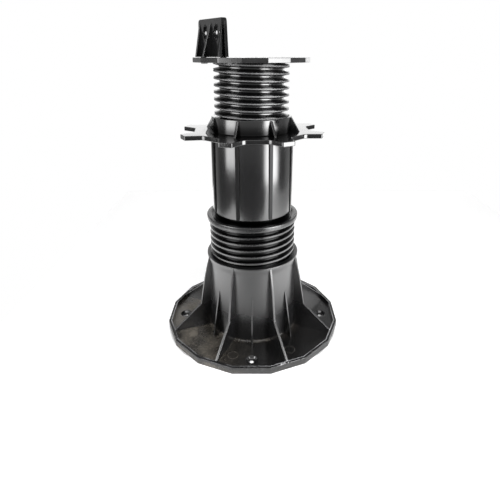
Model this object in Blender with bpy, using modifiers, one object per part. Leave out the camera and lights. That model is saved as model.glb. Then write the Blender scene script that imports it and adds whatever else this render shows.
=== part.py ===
"""Height-adjustable decking pedestal, metres, +Z up, origin on the screw axis at ground level.

A sixteen-sided ribbed base carries an internally threaded socket. A collared threaded sleeve screws
into it and swivels on the neck of a plain tube. A star-shaped ring turns on the top of the tube and
is the nut of the head's stem. The head is a sixteen-sided disc with a clip-in tab for the joist.
Azimuths are in degrees, 0 at the front (-Y) and growing anticlockwise seen from above.
"""

import math

import bmesh
import bpy
from mathutils import Matrix, Vector

# Base
BASE_CORNER_RADIUS = 0.0733
BASE_SIDES = 16
RIM_HEIGHT = 0.0054
RIM_WALL = 0.0025
FLOOR_THICKNESS = 0.0024
SOCKET_HEIGHT = 0.0668
SOCKET_WALL = 0.0018
SOCKET_DRAFT = 0.0008
SOCKET_FILLET = 0.0010
SOCKET_LIP_OUT = 0.0009
SOCKET_LIP_DROP = 0.0060
TALL_RIB_COUNT = 8
TALL_RIB_THICKNESS = 0.0018
TALL_RIB_DROP = 0.0008
TALL_RIB_SHOULDER_OUT = 0.0030
TALL_RIB_SHOULDER_DROP = 0.0085
TALL_RIB_HIP_OUT = 0.0053
TALL_RIB_HIP_DROP = 0.0180
TALL_RIB_KNEE_OUT = 0.0094
TALL_RIB_KNEE_HEIGHT = 0.0246
SHORT_RIB_THICKNESS = 0.0014
SHORT_RIB_HEIGHT = 0.0415
SHORT_RIB_FOOT_OUT = 0.0073
BASE_SCREW_RADIUS = 0.0596
BASE_SCREW_BORE = 0.0036
BASE_SCREW_SINK = 0.0094
BASE_SCREW_STRAIGHT = 0.0008
BASE_SCREW_COUNT = 4

# Lower thread and its sleeve
LOWER_DEPTH = 0.0028
LOWER_PITCH = 0.0053
LOWER_HAND = 1
LOWER_CREST_DROP = 0.0058
LOWER_OUT = 0.0300
SLEEVE_LENGTH = 0.0470
SLEEVE_WALL = 0.0032
SLEEVE_UNDERCUT = 0.0010
COLLAR_OUT = 0.0020
COLLAR_THICKNESS = 0.0037
COLLAR_RECESS_DEPTH = 0.0012
COLLAR_RECESS_CLEARANCE = 0.0026
SOCKET_THREAD_TURNS = 2.75

# Tube
TUBE_RADIUS = 0.0317
TUBE_DRAFT = 0.0003
TUBE_LENGTH = 0.0602
TUBE_WALL = 0.00275
TUBE_CLEARANCE = 0.0009
TUBE_TURN = 2.5
TUBE_RIB_COUNT = 8
TUBE_RIB_WIDTH = 0.0028
TUBE_RIB_HEIGHT = 0.0006
NECK_SHOW = 0.0034
NECK_STEP = 0.0013
SPIGOT_STEP = 0.0019
SPIGOT_WALL = 0.0022
SPIGOT_LENGTH = 0.0120
BEAD_HEIGHT = 0.0006
BEAD_LENGTH = 0.0020

# Star ring
PLATE_THICKNESS = 0.0033
HUB_HEIGHT = 0.0108
HUB_WALL = 0.0019
HUB_FLARE = 0.0016
SKIRT_LENGTH = 0.0060
SKIRT_WALL = 0.0012
LOBE_COUNT = 8
LOBE_LENGTH = 0.0120
LOBE_TIP_WIDTH = 0.0096
NOTCH_BOTTOM_WIDTH = 0.0172
NOTCH_FILLET = 0.0030
NOTCH_FILLET_STEPS = 4
NOTCH_BOTTOM_OUT = 0.0057
GUSSET_FOOT_OUT = 0.00715
GUSSET_TOP_OUT = 0.0008
GUSSET_THICKNESS = 0.0018
RING_THREAD_TURNS = 2.4
STAR_TURN = 5.0

# Upper thread and head
UPPER_DEPTH = 0.00375
UPPER_PITCH = 0.0051
UPPER_HAND = -1
UPPER_CREST_DROP = 0.0013
UPPER_OUT = 0.0382
STEM_LENGTH = 0.0620
STEM_WALL = 0.0038
DISC_CORNER_OUT = 0.01465
DISC_SIDES = 16
DISC_THICKNESS = 0.0033
HEAD_TURN = 4.5

# Joist tab
TAB_AZIMUTH = -51.75
TAB_FACE_INSET = 0.0089
TAB_WIDTH = 0.0340
TAB_HEIGHT = 0.0242
TAB_THICKNESS = 0.0024
TAB_CORNER_RADIUS = 0.0020
TAB_GUSSET_SPACING = 0.0138
TAB_GUSSET_THICKNESS = 0.0016
TAB_GUSSET_DROP = 0.0022
TAB_GUSSET_INSET = 0.0016
TAB_HOLE_HEIGHT = 0.0155
TAB_HOLE_BORE = 0.0026
TAB_HOLE_SPREAD = 0.0050
TAB_DIMPLE_WIDTH = 0.0064
TAB_DIMPLE_HEIGHT = 0.0106
TAB_DIMPLE_DEPTH = 0.0008
TAB_LEG_WIDTH = 0.0040
TAB_LEG_OFFSET = 0.0125
TAB_BARB_OUT = 0.0010
TAB_BARB_HEIGHT = 0.0013

# Shared fits and mesh steps
SEAT_GAP = 0.0003
THREAD_RADIAL_GAP = 0.0005
THREAD_AXIAL_GAP = 0.0004
CREST_SHARE = 0.24
ROOT_SHARE = 0.68
RUN_OUT_STEPS = 3
EDGE = 0.0004
SMOOTH_ANGLE = 32
ROUND_STEPS = 56
THREAD_STEPS = 28
HALF_STEP = 180 / THREAD_STEPS
BURY = 0.0006

# Sizes that follow from the ones above
TUBE_BORE_RADIUS = TUBE_RADIUS - TUBE_WALL
NECK_RADIUS = TUBE_RADIUS - NECK_STEP
SPIGOT_RADIUS = NECK_RADIUS - SPIGOT_STEP
SLEEVE_BORE_RADIUS = SPIGOT_RADIUS + SEAT_GAP
LOWER_ROOT_RADIUS = SLEEVE_BORE_RADIUS + SLEEVE_WALL
LOWER_CREST_RADIUS = LOWER_ROOT_RADIUS + LOWER_DEPTH
COLLAR_RADIUS = LOWER_CREST_RADIUS + COLLAR_OUT
COLLAR_RECESS_RADIUS = NECK_RADIUS + COLLAR_RECESS_CLEARANCE
UPPER_CREST_RADIUS = TUBE_BORE_RADIUS - TUBE_CLEARANCE
UPPER_ROOT_RADIUS = UPPER_CREST_RADIUS - UPPER_DEPTH
SOCKET_BORE_RADIUS = LOWER_CREST_RADIUS + THREAD_RADIAL_GAP
SOCKET_MOUTH_RADIUS = SOCKET_BORE_RADIUS + SOCKET_WALL
SOCKET_FOOT_RADIUS = SOCKET_MOUTH_RADIUS + SOCKET_DRAFT
RING_BORE_RADIUS = UPPER_CREST_RADIUS + THREAD_RADIAL_GAP
HUB_RADIUS = RING_BORE_RADIUS + HUB_WALL
SKIRT_RADIUS = RING_BORE_RADIUS + SKIRT_WALL
GUSSET_FOOT_RADIUS = HUB_RADIUS + GUSSET_FOOT_OUT
NOTCH_BOTTOM_RADIUS = GUSSET_FOOT_RADIUS + NOTCH_BOTTOM_OUT
LOBE_REACH = NOTCH_BOTTOM_RADIUS + LOBE_LENGTH
DISC_CORNER_RADIUS = UPPER_CREST_RADIUS + DISC_CORNER_OUT
TAB_FACE_RADIUS = DISC_CORNER_RADIUS - TAB_FACE_INSET

# Heights at rest
SLEEVE_Z = SOCKET_HEIGHT + LOWER_OUT
TUBE_Z = SLEEVE_Z + COLLAR_THICKNESS + NECK_SHOW
RING_Z = TUBE_Z + TUBE_LENGTH + SEAT_GAP
HEAD_Z = RING_Z + PLATE_THICKNESS + HUB_HEIGHT + UPPER_OUT
TAB_Z = HEAD_Z + DISC_THICKNESS + SEAT_GAP


def clear_scene():
    for obj in list(bpy.data.objects):
        bpy.data.objects.remove(obj, do_unlink=True)


def new_collection(name):
    collection = bpy.data.collections.new(name)
    bpy.context.scene.collection.children.link(collection)
    return collection


def material(name, colour, roughness):
    made = bpy.data.materials.new(name)
    made.use_nodes = True
    shader = made.node_tree.nodes["Principled BSDF"]
    shader.inputs["Base Color"].default_value = (*colour, 1)
    shader.inputs["Roughness"].default_value = roughness
    shader.inputs["Metallic"].default_value = 0
    return made


def around(azimuth, radius=1.0, height=0.0):
    """The point at an azimuth, a radius and a height."""
    angle = math.radians(azimuth)
    return Vector((radius * math.sin(angle), -radius * math.cos(angle), height))


def radial_frame(azimuth):
    """Turns X, Y and Z of a flat outline into outwards, up and across at an azimuth."""
    out = around(azimuth)
    up = Vector((0, 0, 1))
    across = out.cross(up)
    return Matrix((out, up, across)).transposed().to_4x4()


def facing_frame(azimuth):
    """Turns X, Y and Z of a flat outline into across, up and outwards at an azimuth."""
    out = around(azimuth)
    up = Vector((0, 0, 1))
    across = up.cross(out)
    return Matrix((across, up, out)).transposed().to_4x4()


def add_object(name, mesh, collection):
    obj = bpy.data.objects.new(name, mesh)
    collection.objects.link(obj)
    return obj


def add_tool(name, mesh, collection):
    """A helper solid that a Boolean adds or takes away."""
    obj = add_object(name, mesh, collection)
    obj.hide_render = True
    obj.display_type = "WIRE"
    return obj


def mesh_of(name, bm):
    bmesh.ops.recalc_face_normals(bm, faces=bm.faces)
    mesh = bpy.data.meshes.new(name)
    bm.to_mesh(mesh)
    bm.free()
    return mesh


def evaluated_mesh(obj, name):
    """The mesh of an object with its modifiers applied, its loose caps welded."""
    graph = bpy.context.evaluated_depsgraph_get()
    made = bpy.data.meshes.new_from_object(obj.evaluated_get(graph))
    bm = bmesh.new()
    bm.from_mesh(made)
    bpy.data.meshes.remove(made)
    bmesh.ops.remove_doubles(bm, verts=bm.verts, dist=1e-7)
    return mesh_of(name, bm)


def turned(name, profile, steps, azimuth=0.0):
    """Revolves a closed outline of (radius, height) points; one at the axis closes on it."""
    mesh = bpy.data.meshes.new(name)
    count = len(profile)
    on_axis = profile[0][0] == 0
    edges = [(i, i + 1) for i in range(count - 1)]
    if not on_axis:
        edges.append((count - 1, 0))
    mesh.from_pydata([(r, 0, z) for r, z in profile], edges, [])
    obj = bpy.data.objects.new(name, mesh)
    bpy.context.scene.collection.objects.link(obj)
    screw = obj.modifiers.new("Turn", "SCREW")
    screw.steps = steps
    screw.render_steps = steps
    screw.use_merge_vertices = True
    screw.merge_threshold = 1e-6
    made = evaluated_mesh(obj, name)
    bpy.data.objects.remove(obj)
    made.transform(Matrix.Rotation(math.radians(azimuth), 4, "Z"))
    return made


def flat(name, outline, thickness):
    """A plate of the given outline in XY, its thickness split about Z = 0."""
    curve = bpy.data.curves.new(name, "CURVE")
    curve.dimensions = "2D"
    curve.fill_mode = "BOTH"
    curve.extrude = thickness / 2
    spline = curve.splines.new("POLY")
    spline.points.add(len(outline) - 1)
    for point, (x, y) in zip(spline.points, outline):
        point.co = (x, y, 0, 1)
    spline.use_cyclic_u = True
    obj = bpy.data.objects.new(name, curve)
    bpy.context.scene.collection.objects.link(obj)
    made = evaluated_mesh(obj, name)
    bpy.data.objects.remove(obj)
    return made


def copies(name, mesh, matrices):
    """One mesh with a copy of the given one at each matrix."""
    bm = bmesh.new()
    for matrix in matrices:
        placed = mesh.copy()
        placed.transform(matrix)
        bm.from_mesh(placed)
        bpy.data.meshes.remove(placed)
    return mesh_of(name, bm)


def cylinder(name, radius, low, high, steps, turn=0.0):
    """An upright cylinder on the Z axis, turned by some degrees about it."""
    bm = bmesh.new()
    matrix = Matrix.Translation((0, 0, (low + high) / 2)) @ Matrix.Rotation(math.radians(turn), 4, "Z")
    bmesh.ops.create_cone(
        bm, cap_ends=True, segments=steps, radius1=radius, radius2=radius, depth=high - low, matrix=matrix
    )
    return mesh_of(name, bm)


def box(name, size, centre):
    bm = bmesh.new()
    matrix = Matrix.Translation(centre) @ Matrix.Diagonal((*size, 1))
    bmesh.ops.create_cube(bm, size=1, matrix=matrix)
    return mesh_of(name, bm)


def helix(name, inner, outer, pitch, hand, crest_front, low, high):
    """A helical ridge between two heights; inner and outer are (radius, width) of its section.

    crest_front is the height of one of its crests at the front. The ridge tapers off at both ends,
    on the side of the narrow edge of its section."""
    step_angle = 360 / THREAD_STEPS
    lift = hand * pitch / THREAD_STEPS
    first = math.ceil((low - crest_front) / lift) if hand > 0 else math.ceil((high - crest_front) / lift)
    last = math.floor((high - crest_front) / lift) if hand > 0 else math.floor((low - crest_front) / lift)
    section = [(inner[0], -1, inner[1]), (outer[0], -1, outer[1]), (outer[0], 1, outer[1]), (inner[0], 1, inner[1])]
    bm = bmesh.new()
    start = crest_front + lift * first
    points = [around(step_angle * first, r, start + side * width / 2) for r, side, width in section]
    face = bm.faces.new([bm.verts.new(p) for p in points])
    steps = last - first
    bmesh.ops.spin(
        bm,
        geom=[face],
        cent=(0, 0, 0),
        axis=(0, 0, 1),
        dvec=(0, 0, lift),
        angle=math.radians(step_angle) * steps,
        steps=steps,
        use_duplicate=False,
    )
    taper_ends(bm, inner, outer, step_angle, lift, first, last, crest_front)
    return mesh_of(name, bm)


def taper_ends(bm, inner, outer, step_angle, lift, first, last, crest_front):
    """Draws the ridge's crest down towards its foot over the last few steps at each end."""
    male = inner[1] > outer[1]
    foot, crest = (inner[0], outer[0]) if male else (outer[0], inner[0])
    for vert in bm.verts:
        radius = math.hypot(vert.co.x, vert.co.y)
        if abs(radius - crest) > abs(radius - foot):
            continue
        azimuth = math.degrees(math.atan2(vert.co.x, -vert.co.y))
        turn = round((vert.co.z - crest_front) / (lift * THREAD_STEPS) - azimuth / 360)
        step = round(azimuth / step_angle) + turn * THREAD_STEPS
        from_end = min(step - first, last - step)
        if from_end < RUN_OUT_STEPS:
            share = (from_end + 0.6) / (RUN_OUT_STEPS + 0.6)
            wanted = foot + (crest - foot) * share
            vert.co.x *= wanted / radius
            vert.co.y *= wanted / radius


def male_section(root, crest, pitch):
    """Foot and crest (radius, width) of an external thread, its foot buried in the core."""
    slope = pitch * (ROOT_SHARE - CREST_SHARE) / (crest - root)
    return (root - BURY, pitch * ROOT_SHARE + slope * BURY), (crest, pitch * CREST_SHARE)


def female_section(root, crest, pitch):
    """The internal thread that the external one runs in, with the named gaps all round."""
    slope = pitch * (ROOT_SHARE - CREST_SHARE) / (crest - root)
    tip = root + THREAD_RADIAL_GAP + 0.0001
    foot = crest + THREAD_RADIAL_GAP + BURY
    groove = pitch * (1 - ROOT_SHARE)
    tip_width = groove + slope * (tip - root) - 2 * THREAD_AXIAL_GAP
    foot_width = groove + slope * (foot - root) - 2 * THREAD_AXIAL_GAP
    return (tip, tip_width), (foot, min(foot_width, pitch * 0.9))


def boolean(target, tools, operation):
    for tool in tools:
        step = target.modifiers.new(tool.name, "BOOLEAN")
        step.operation = operation
        step.solver = "EXACT"
        step.object = tool


def finish(obj, skin):
    """Applies the modifiers, shades round faces smooth and gives the piece its material."""
    mesh = evaluated_mesh(obj, obj.name)
    obj.modifiers.clear()
    old = obj.data
    obj.data = mesh
    bpy.data.meshes.remove(old)
    mesh.shade_smooth()
    mesh.set_sharp_from_angle(angle=math.radians(SMOOTH_ANGLE))
    mesh.materials.clear()
    mesh.materials.append(skin)


def polygon_profile(radius, low, high, edge):
    """A turned disc with bevelled rims, closed on the axis."""
    return [
        (0, high),
        (radius - edge, high),
        (radius, high - edge),
        (radius, low + edge),
        (radius - edge, low),
        (0, low),
    ]


def base_plate():
    flat_share = math.cos(math.pi / BASE_SIDES)
    inner = BASE_CORNER_RADIUS - RIM_WALL / flat_share
    profile = [
        (0, FLOOR_THICKNESS),
        (inner - EDGE, FLOOR_THICKNESS),
        (inner, FLOOR_THICKNESS + EDGE),
        (inner, RIM_HEIGHT - EDGE),
        (inner + EDGE, RIM_HEIGHT),
        (BASE_CORNER_RADIUS - EDGE, RIM_HEIGHT),
        (BASE_CORNER_RADIUS, RIM_HEIGHT - EDGE),
        (BASE_CORNER_RADIUS, 0),
        (0, 0),
    ]
    return turned("base_plate", profile, BASE_SIDES, 180 / BASE_SIDES)


def socket_body():
    profile = [
        (0, SOCKET_HEIGHT),
        (SOCKET_MOUTH_RADIUS + SOCKET_LIP_OUT - EDGE, SOCKET_HEIGHT),
        (SOCKET_MOUTH_RADIUS + SOCKET_LIP_OUT, SOCKET_HEIGHT - EDGE),
        (SOCKET_MOUTH_RADIUS + SOCKET_LIP_OUT, SOCKET_HEIGHT - SOCKET_LIP_DROP / 3),
        (socket_radius(SOCKET_HEIGHT - SOCKET_LIP_DROP), SOCKET_HEIGHT - SOCKET_LIP_DROP),
        (SOCKET_FOOT_RADIUS, FLOOR_THICKNESS + SOCKET_FILLET),
        (SOCKET_FOOT_RADIUS + SOCKET_FILLET, FLOOR_THICKNESS),
        (SOCKET_FOOT_RADIUS + SOCKET_FILLET, FLOOR_THICKNESS / 2),
        (0, FLOOR_THICKNESS / 2),
    ]
    return turned("socket_body", profile, ROUND_STEPS)


def socket_radius(height):
    share = (SOCKET_HEIGHT - height) / (SOCKET_HEIGHT - FLOOR_THICKNESS)
    return SOCKET_MOUTH_RADIUS + SOCKET_DRAFT * share


def tall_ribs():
    """Ribs from the socket's mouth down to a knee, then straight to the rim."""
    inside = SOCKET_BORE_RADIUS + SOCKET_WALL / 2
    wall = BASE_CORNER_RADIUS * math.cos(math.pi / BASE_SIDES) - RIM_WALL
    top = SOCKET_HEIGHT - TALL_RIB_DROP
    outline = [
        (inside, top),
        (SOCKET_MOUTH_RADIUS + SOCKET_LIP_OUT + EDGE / 2, top),
        (SOCKET_MOUTH_RADIUS + TALL_RIB_SHOULDER_OUT, SOCKET_HEIGHT - TALL_RIB_SHOULDER_DROP),
        (SOCKET_MOUTH_RADIUS + TALL_RIB_HIP_OUT, SOCKET_HEIGHT - TALL_RIB_HIP_DROP),
        (SOCKET_MOUTH_RADIUS + TALL_RIB_KNEE_OUT, TALL_RIB_KNEE_HEIGHT),
        (wall + RIM_WALL / 4, RIM_HEIGHT - EDGE),
        (wall + RIM_WALL / 4, FLOOR_THICKNESS / 2),
        (inside, FLOOR_THICKNESS / 2),
    ]
    rib = flat("tall_rib", outline, TALL_RIB_THICKNESS)
    step = 360 / TALL_RIB_COUNT
    return copies("tall_ribs", rib, [radial_frame(step * (i + 0.5)) for i in range(TALL_RIB_COUNT)])


def short_ribs():
    inside = SOCKET_BORE_RADIUS + SOCKET_WALL / 2
    outline = [
        (inside, SHORT_RIB_HEIGHT),
        (socket_radius(SHORT_RIB_HEIGHT) + EDGE / 2, SHORT_RIB_HEIGHT),
        (SOCKET_FOOT_RADIUS + SHORT_RIB_FOOT_OUT, FLOOR_THICKNESS + EDGE),
        (SOCKET_FOOT_RADIUS + SHORT_RIB_FOOT_OUT, FLOOR_THICKNESS / 2),
        (inside, FLOOR_THICKNESS / 2),
    ]
    rib = flat("short_rib", outline, SHORT_RIB_THICKNESS)
    step = 360 / TALL_RIB_COUNT
    return copies("short_ribs", rib, [radial_frame(step * i) for i in range(TALL_RIB_COUNT)])


def base_screw_holes():
    """Short straight bores under wide countersinks, one at each quarter."""
    profile = [
        (0, FLOOR_THICKNESS + BURY),
        (BASE_SCREW_SINK / 2, FLOOR_THICKNESS + BURY),
        (BASE_SCREW_SINK / 2, FLOOR_THICKNESS),
        (BASE_SCREW_BORE / 2, BASE_SCREW_STRAIGHT),
        (BASE_SCREW_BORE / 2, -BURY),
        (0, -BURY),
    ]
    hole = turned("base_screw_hole", profile, 20)
    step = 360 / BASE_SCREW_COUNT
    spots = [Matrix.Translation(around(step * i, BASE_SCREW_RADIUS)) for i in range(BASE_SCREW_COUNT)]
    return copies("base_screw_holes", hole, spots)


def make_base(parts, tools, skin):
    base = add_object("base", base_plate(), parts)
    adds = [
        add_tool("socket_body", socket_body(), tools),
        add_tool("tall_ribs", tall_ribs(), tools),
        add_tool("short_ribs", short_ribs(), tools),
    ]
    boolean(base, adds, "UNION")
    bore = cylinder("socket_bore", SOCKET_BORE_RADIUS, -BURY, SOCKET_HEIGHT + BURY, THREAD_STEPS, HALF_STEP)
    cuts = [add_tool("socket_bore", bore, tools), add_tool("base_screw_holes", base_screw_holes(), tools)]
    boolean(base, cuts, "DIFFERENCE")
    tip, foot = female_section(LOWER_ROOT_RADIUS, LOWER_CREST_RADIUS, LOWER_PITCH)
    crest_front = SLEEVE_Z - LOWER_CREST_DROP + LOWER_PITCH / 2
    top = SOCKET_HEIGHT - foot[1] / 2 - EDGE
    low = top - LOWER_PITCH * SOCKET_THREAD_TURNS
    ridge = helix("socket_thread", tip, foot, LOWER_PITCH, LOWER_HAND, crest_front, low, top)
    boolean(base, [add_tool("socket_thread", ridge, tools)], "UNION")
    finish(base, skin)
    return base


def make_sleeve(parts, tools, skin):
    """The collar and its threaded skirt; its origin is under the collar."""
    recess = COLLAR_THICKNESS - COLLAR_RECESS_DEPTH
    lap = (LOWER_ROOT_RADIUS + SLEEVE_BORE_RADIUS) / 2
    collar = [
        (COLLAR_RECESS_RADIUS, COLLAR_THICKNESS),
        (COLLAR_RADIUS - EDGE, COLLAR_THICKNESS),
        (COLLAR_RADIUS, COLLAR_THICKNESS - EDGE),
        (COLLAR_RADIUS, EDGE),
        (COLLAR_RADIUS - EDGE, 0),
        (lap, 0),
        (lap, recess),
        (COLLAR_RECESS_RADIUS, recess),
    ]
    undercut = SLEEVE_BORE_RADIUS + SLEEVE_UNDERCUT
    ledge = recess - SPIGOT_LENGTH + BEAD_LENGTH
    core = [
        (LOWER_ROOT_RADIUS, recess - BURY),
        (LOWER_ROOT_RADIUS, -SLEEVE_LENGTH),
        (undercut, -SLEEVE_LENGTH),
        (undercut, ledge),
        (SLEEVE_BORE_RADIUS, ledge),
        (SLEEVE_BORE_RADIUS, recess),
        (lap + BURY, recess),
        (lap + BURY, recess - BURY),
    ]
    sleeve = add_object("threaded_sleeve", turned("threaded_sleeve", core, THREAD_STEPS, HALF_STEP), parts)
    foot, crest = male_section(LOWER_ROOT_RADIUS, LOWER_CREST_RADIUS, LOWER_PITCH)
    low = -SLEEVE_LENGTH + foot[1] / 2
    ridge = helix("sleeve_thread", foot, crest, LOWER_PITCH, LOWER_HAND, -LOWER_CREST_DROP, low, 0)
    adds = [
        add_tool("sleeve_thread", ridge, tools),
        add_tool("collar", turned("collar", collar, ROUND_STEPS), tools),
    ]
    boolean(sleeve, adds, "UNION")
    finish(sleeve, skin)
    sleeve.location.z = SLEEVE_Z
    return sleeve


def tube_ribs():
    """Low flat ribs down the tube, rounded at the foot."""
    half = TUBE_RIB_WIDTH / 2
    arc_steps = 6
    arc = [math.pi + math.pi * i / arc_steps for i in range(arc_steps + 1)]
    outline = [(half * math.cos(a), half * (1 + math.sin(a))) for a in arc]
    outline += [(half, TUBE_LENGTH), (-half, TUBE_LENGTH)]
    rib = flat("tube_rib", outline, TUBE_RIB_HEIGHT * 4)
    middle = TUBE_RADIUS - TUBE_RIB_HEIGHT
    step = 360 / TUBE_RIB_COUNT
    spots = []
    for i in range(TUBE_RIB_COUNT):
        azimuth = step * (i + 0.5) + TUBE_TURN
        lean = Matrix.Rotation(math.atan(TUBE_DRAFT / TUBE_LENGTH), 4, "X")
        spots.append(Matrix.Translation(around(azimuth, middle)) @ facing_frame(azimuth) @ lean)
    return copies("tube_ribs", rib, spots)


def make_tube(parts, tools, skin):
    """The plain tube with the neck and spigot it swivels on; its origin is at its foot."""
    seat = -NECK_SHOW - COLLAR_RECESS_DEPTH + SEAT_GAP
    spigot_end = -NECK_SHOW - COLLAR_RECESS_DEPTH - SPIGOT_LENGTH
    socket_floor = TUBE_LENGTH - SKIRT_LENGTH - SEAT_GAP
    bead = SPIGOT_RADIUS + BEAD_HEIGHT + SEAT_GAP
    top_radius = TUBE_RADIUS - TUBE_DRAFT
    profile = [
        (top_radius, TUBE_LENGTH),
        (TUBE_RADIUS, EDGE),
        (TUBE_RADIUS - EDGE, 0),
        (NECK_RADIUS, 0),
        (NECK_RADIUS, seat),
        (SPIGOT_RADIUS, seat),
        (SPIGOT_RADIUS, spigot_end + BEAD_LENGTH - SEAT_GAP),
        (bead, spigot_end + BEAD_LENGTH - SEAT_GAP),
        (SPIGOT_RADIUS - EDGE, spigot_end),
        (SPIGOT_RADIUS - SPIGOT_WALL, spigot_end),
        (SPIGOT_RADIUS - SPIGOT_WALL, seat),
        (TUBE_BORE_RADIUS, EDGE),
        (TUBE_BORE_RADIUS, socket_floor),
        (SKIRT_RADIUS + SEAT_GAP, socket_floor),
        (SKIRT_RADIUS + SEAT_GAP, TUBE_LENGTH),
    ]
    tube = add_object("tube", turned("tube", profile, ROUND_STEPS, TUBE_TURN), parts)
    boolean(tube, [add_tool("tube_ribs", tube_ribs(), tools)], "UNION")
    finish(tube, skin)
    tube.location.z = TUBE_Z
    return tube


def notch_outline():
    """One notch facing +X, from corner to corner: straight flanks, a flat bottom and filleted corners."""
    step = math.pi / LOBE_COUNT
    tip = Vector((LOBE_REACH, LOBE_TIP_WIDTH / 2))
    spread = step - math.atan2(tip.y, tip.x)
    mouth = Vector((tip.length * math.cos(spread), tip.length * math.sin(spread)))
    corner = Vector((NOTCH_BOTTOM_RADIUS, NOTCH_BOTTOM_WIDTH / 2))
    flank = (mouth - corner).normalized()
    opening = math.acos(-flank.y)
    back = NOTCH_FILLET / math.tan(opening / 2)
    centre = Vector((corner.x + NOTCH_FILLET, corner.y - back))
    sweep = math.pi - opening
    half = [(mouth.x, mouth.y)]
    for i in range(NOTCH_FILLET_STEPS + 1):
        angle = math.pi - sweep * (1 - i / NOTCH_FILLET_STEPS)
        half.append((centre.x + NOTCH_FILLET * math.cos(angle), centre.y + NOTCH_FILLET * math.sin(angle)))
    return [(x, -y) for x, y in half] + half[::-1]


def star_outline():
    """Flat-ended lobes with a notch between each two."""
    outline = []
    for i in range(LOBE_COUNT):
        middle = math.radians(360 / LOBE_COUNT * (i + 1) + STAR_TURN)
        for x, y in notch_outline():
            turn = middle + math.atan2(y, x)
            radius = math.hypot(x, y)
            outline.append((radius * math.sin(turn), -radius * math.cos(turn)))
    return outline


def ring_body():
    """Hub, flared foot and skirt as one turned solid; the bore is cut later."""
    top = PLATE_THICKNESS + HUB_HEIGHT
    profile = [
        (0, top),
        (HUB_RADIUS - EDGE, top),
        (HUB_RADIUS, top - EDGE),
        (HUB_RADIUS + EDGE, PLATE_THICKNESS + 2.5 * HUB_FLARE),
        (HUB_RADIUS + HUB_FLARE / 2, PLATE_THICKNESS + HUB_FLARE),
        (HUB_RADIUS + 2 * HUB_FLARE, PLATE_THICKNESS),
        (HUB_RADIUS + 2 * HUB_FLARE, PLATE_THICKNESS / 2),
        (SKIRT_RADIUS, PLATE_THICKNESS / 2),
        (SKIRT_RADIUS, -SKIRT_LENGTH),
        (0, -SKIRT_LENGTH),
    ]
    return turned("ring_body", profile, ROUND_STEPS)


def ring_gussets():
    top = PLATE_THICKNESS + HUB_HEIGHT
    inside = RING_BORE_RADIUS + HUB_WALL / 2
    outline = [
        (inside, top - 2 * EDGE),
        (HUB_RADIUS + GUSSET_TOP_OUT, top - 2 * EDGE),
        (GUSSET_FOOT_RADIUS, PLATE_THICKNESS),
        (GUSSET_FOOT_RADIUS, PLATE_THICKNESS / 2),
        (inside, PLATE_THICKNESS / 2),
    ]
    gusset = flat("ring_gusset", outline, GUSSET_THICKNESS)
    step = 360 / LOBE_COUNT
    frames = [radial_frame(step * (i + 0.5) + STAR_TURN) for i in range(LOBE_COUNT)]
    return copies("ring_gussets", gusset, frames)


def make_ring(parts, tools, skin):
    """The star-shaped nut; its origin is under its plate."""
    plate = flat("star_ring", star_outline(), PLATE_THICKNESS)
    plate.transform(Matrix.Translation((0, 0, PLATE_THICKNESS / 2)))
    ring = add_object("star_ring", plate, parts)
    adds = [add_tool("ring_body", ring_body(), tools), add_tool("ring_gussets", ring_gussets(), tools)]
    boolean(ring, adds, "UNION")
    top = PLATE_THICKNESS + HUB_HEIGHT
    bore = cylinder("ring_bore", RING_BORE_RADIUS, -SKIRT_LENGTH - BURY, top + BURY, THREAD_STEPS, HALF_STEP)
    boolean(ring, [add_tool("ring_bore", bore, tools)], "DIFFERENCE")
    tip, foot = female_section(UPPER_ROOT_RADIUS, UPPER_CREST_RADIUS, UPPER_PITCH)
    crest_front = HEAD_Z - UPPER_CREST_DROP + UPPER_PITCH / 2 - RING_Z
    high = top - foot[1] / 2 - EDGE
    low = high - UPPER_PITCH * RING_THREAD_TURNS
    ridge = helix("ring_thread", tip, foot, UPPER_PITCH, UPPER_HAND, crest_front, low, high)
    boolean(ring, [add_tool("ring_thread", ridge, tools)], "UNION")
    finish(ring, skin)
    ring.location.z = RING_Z
    return ring


def tab_leg_slots():
    """Slots through the disc for the tab's two legs."""
    face = TAB_FACE_RADIUS - TAB_THICKNESS / 2
    size = (TAB_LEG_WIDTH + 2 * SEAT_GAP, 3 * DISC_THICKNESS, TAB_THICKNESS + 2 * SEAT_GAP)
    slot = box("tab_slot", size, (0, 0, face))
    spots = []
    for side in (-1, 1):
        shift = Matrix.Translation((side * TAB_LEG_OFFSET, 0, 0))
        spots.append(facing_frame(TAB_AZIMUTH) @ shift)
    return copies("tab_slots", slot, spots)


def make_head(parts, tools, skin):
    """The sixteen-sided disc with its hollow threaded stem; its origin is under the disc."""
    disc = polygon_profile(DISC_CORNER_RADIUS, 0, DISC_THICKNESS, EDGE / 2)
    head = add_object("head", turned("head", disc, DISC_SIDES, 180 / DISC_SIDES + HEAD_TURN), parts)
    inside = UPPER_ROOT_RADIUS - STEM_WALL
    stem = [
        (UPPER_ROOT_RADIUS, DISC_THICKNESS / 2),
        (UPPER_ROOT_RADIUS, -STEM_LENGTH),
        (inside, -STEM_LENGTH),
        (inside, DISC_THICKNESS / 2),
    ]
    foot, crest = male_section(UPPER_ROOT_RADIUS, UPPER_CREST_RADIUS, UPPER_PITCH)
    low = -STEM_LENGTH + foot[1] / 2
    high = DISC_THICKNESS / 4
    ridge = helix("stem_thread", foot, crest, UPPER_PITCH, UPPER_HAND, -UPPER_CREST_DROP, low, high)
    core = add_tool("stem_core", turned("stem_core", stem, THREAD_STEPS, HALF_STEP), tools)
    thread = add_tool("stem_thread", ridge, tools)
    boolean(head, [core, thread], "UNION")
    boolean(head, [add_tool("tab_slots", tab_leg_slots(), tools)], "DIFFERENCE")
    finish(head, skin)
    head.location.z = HEAD_Z
    return head


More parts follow.
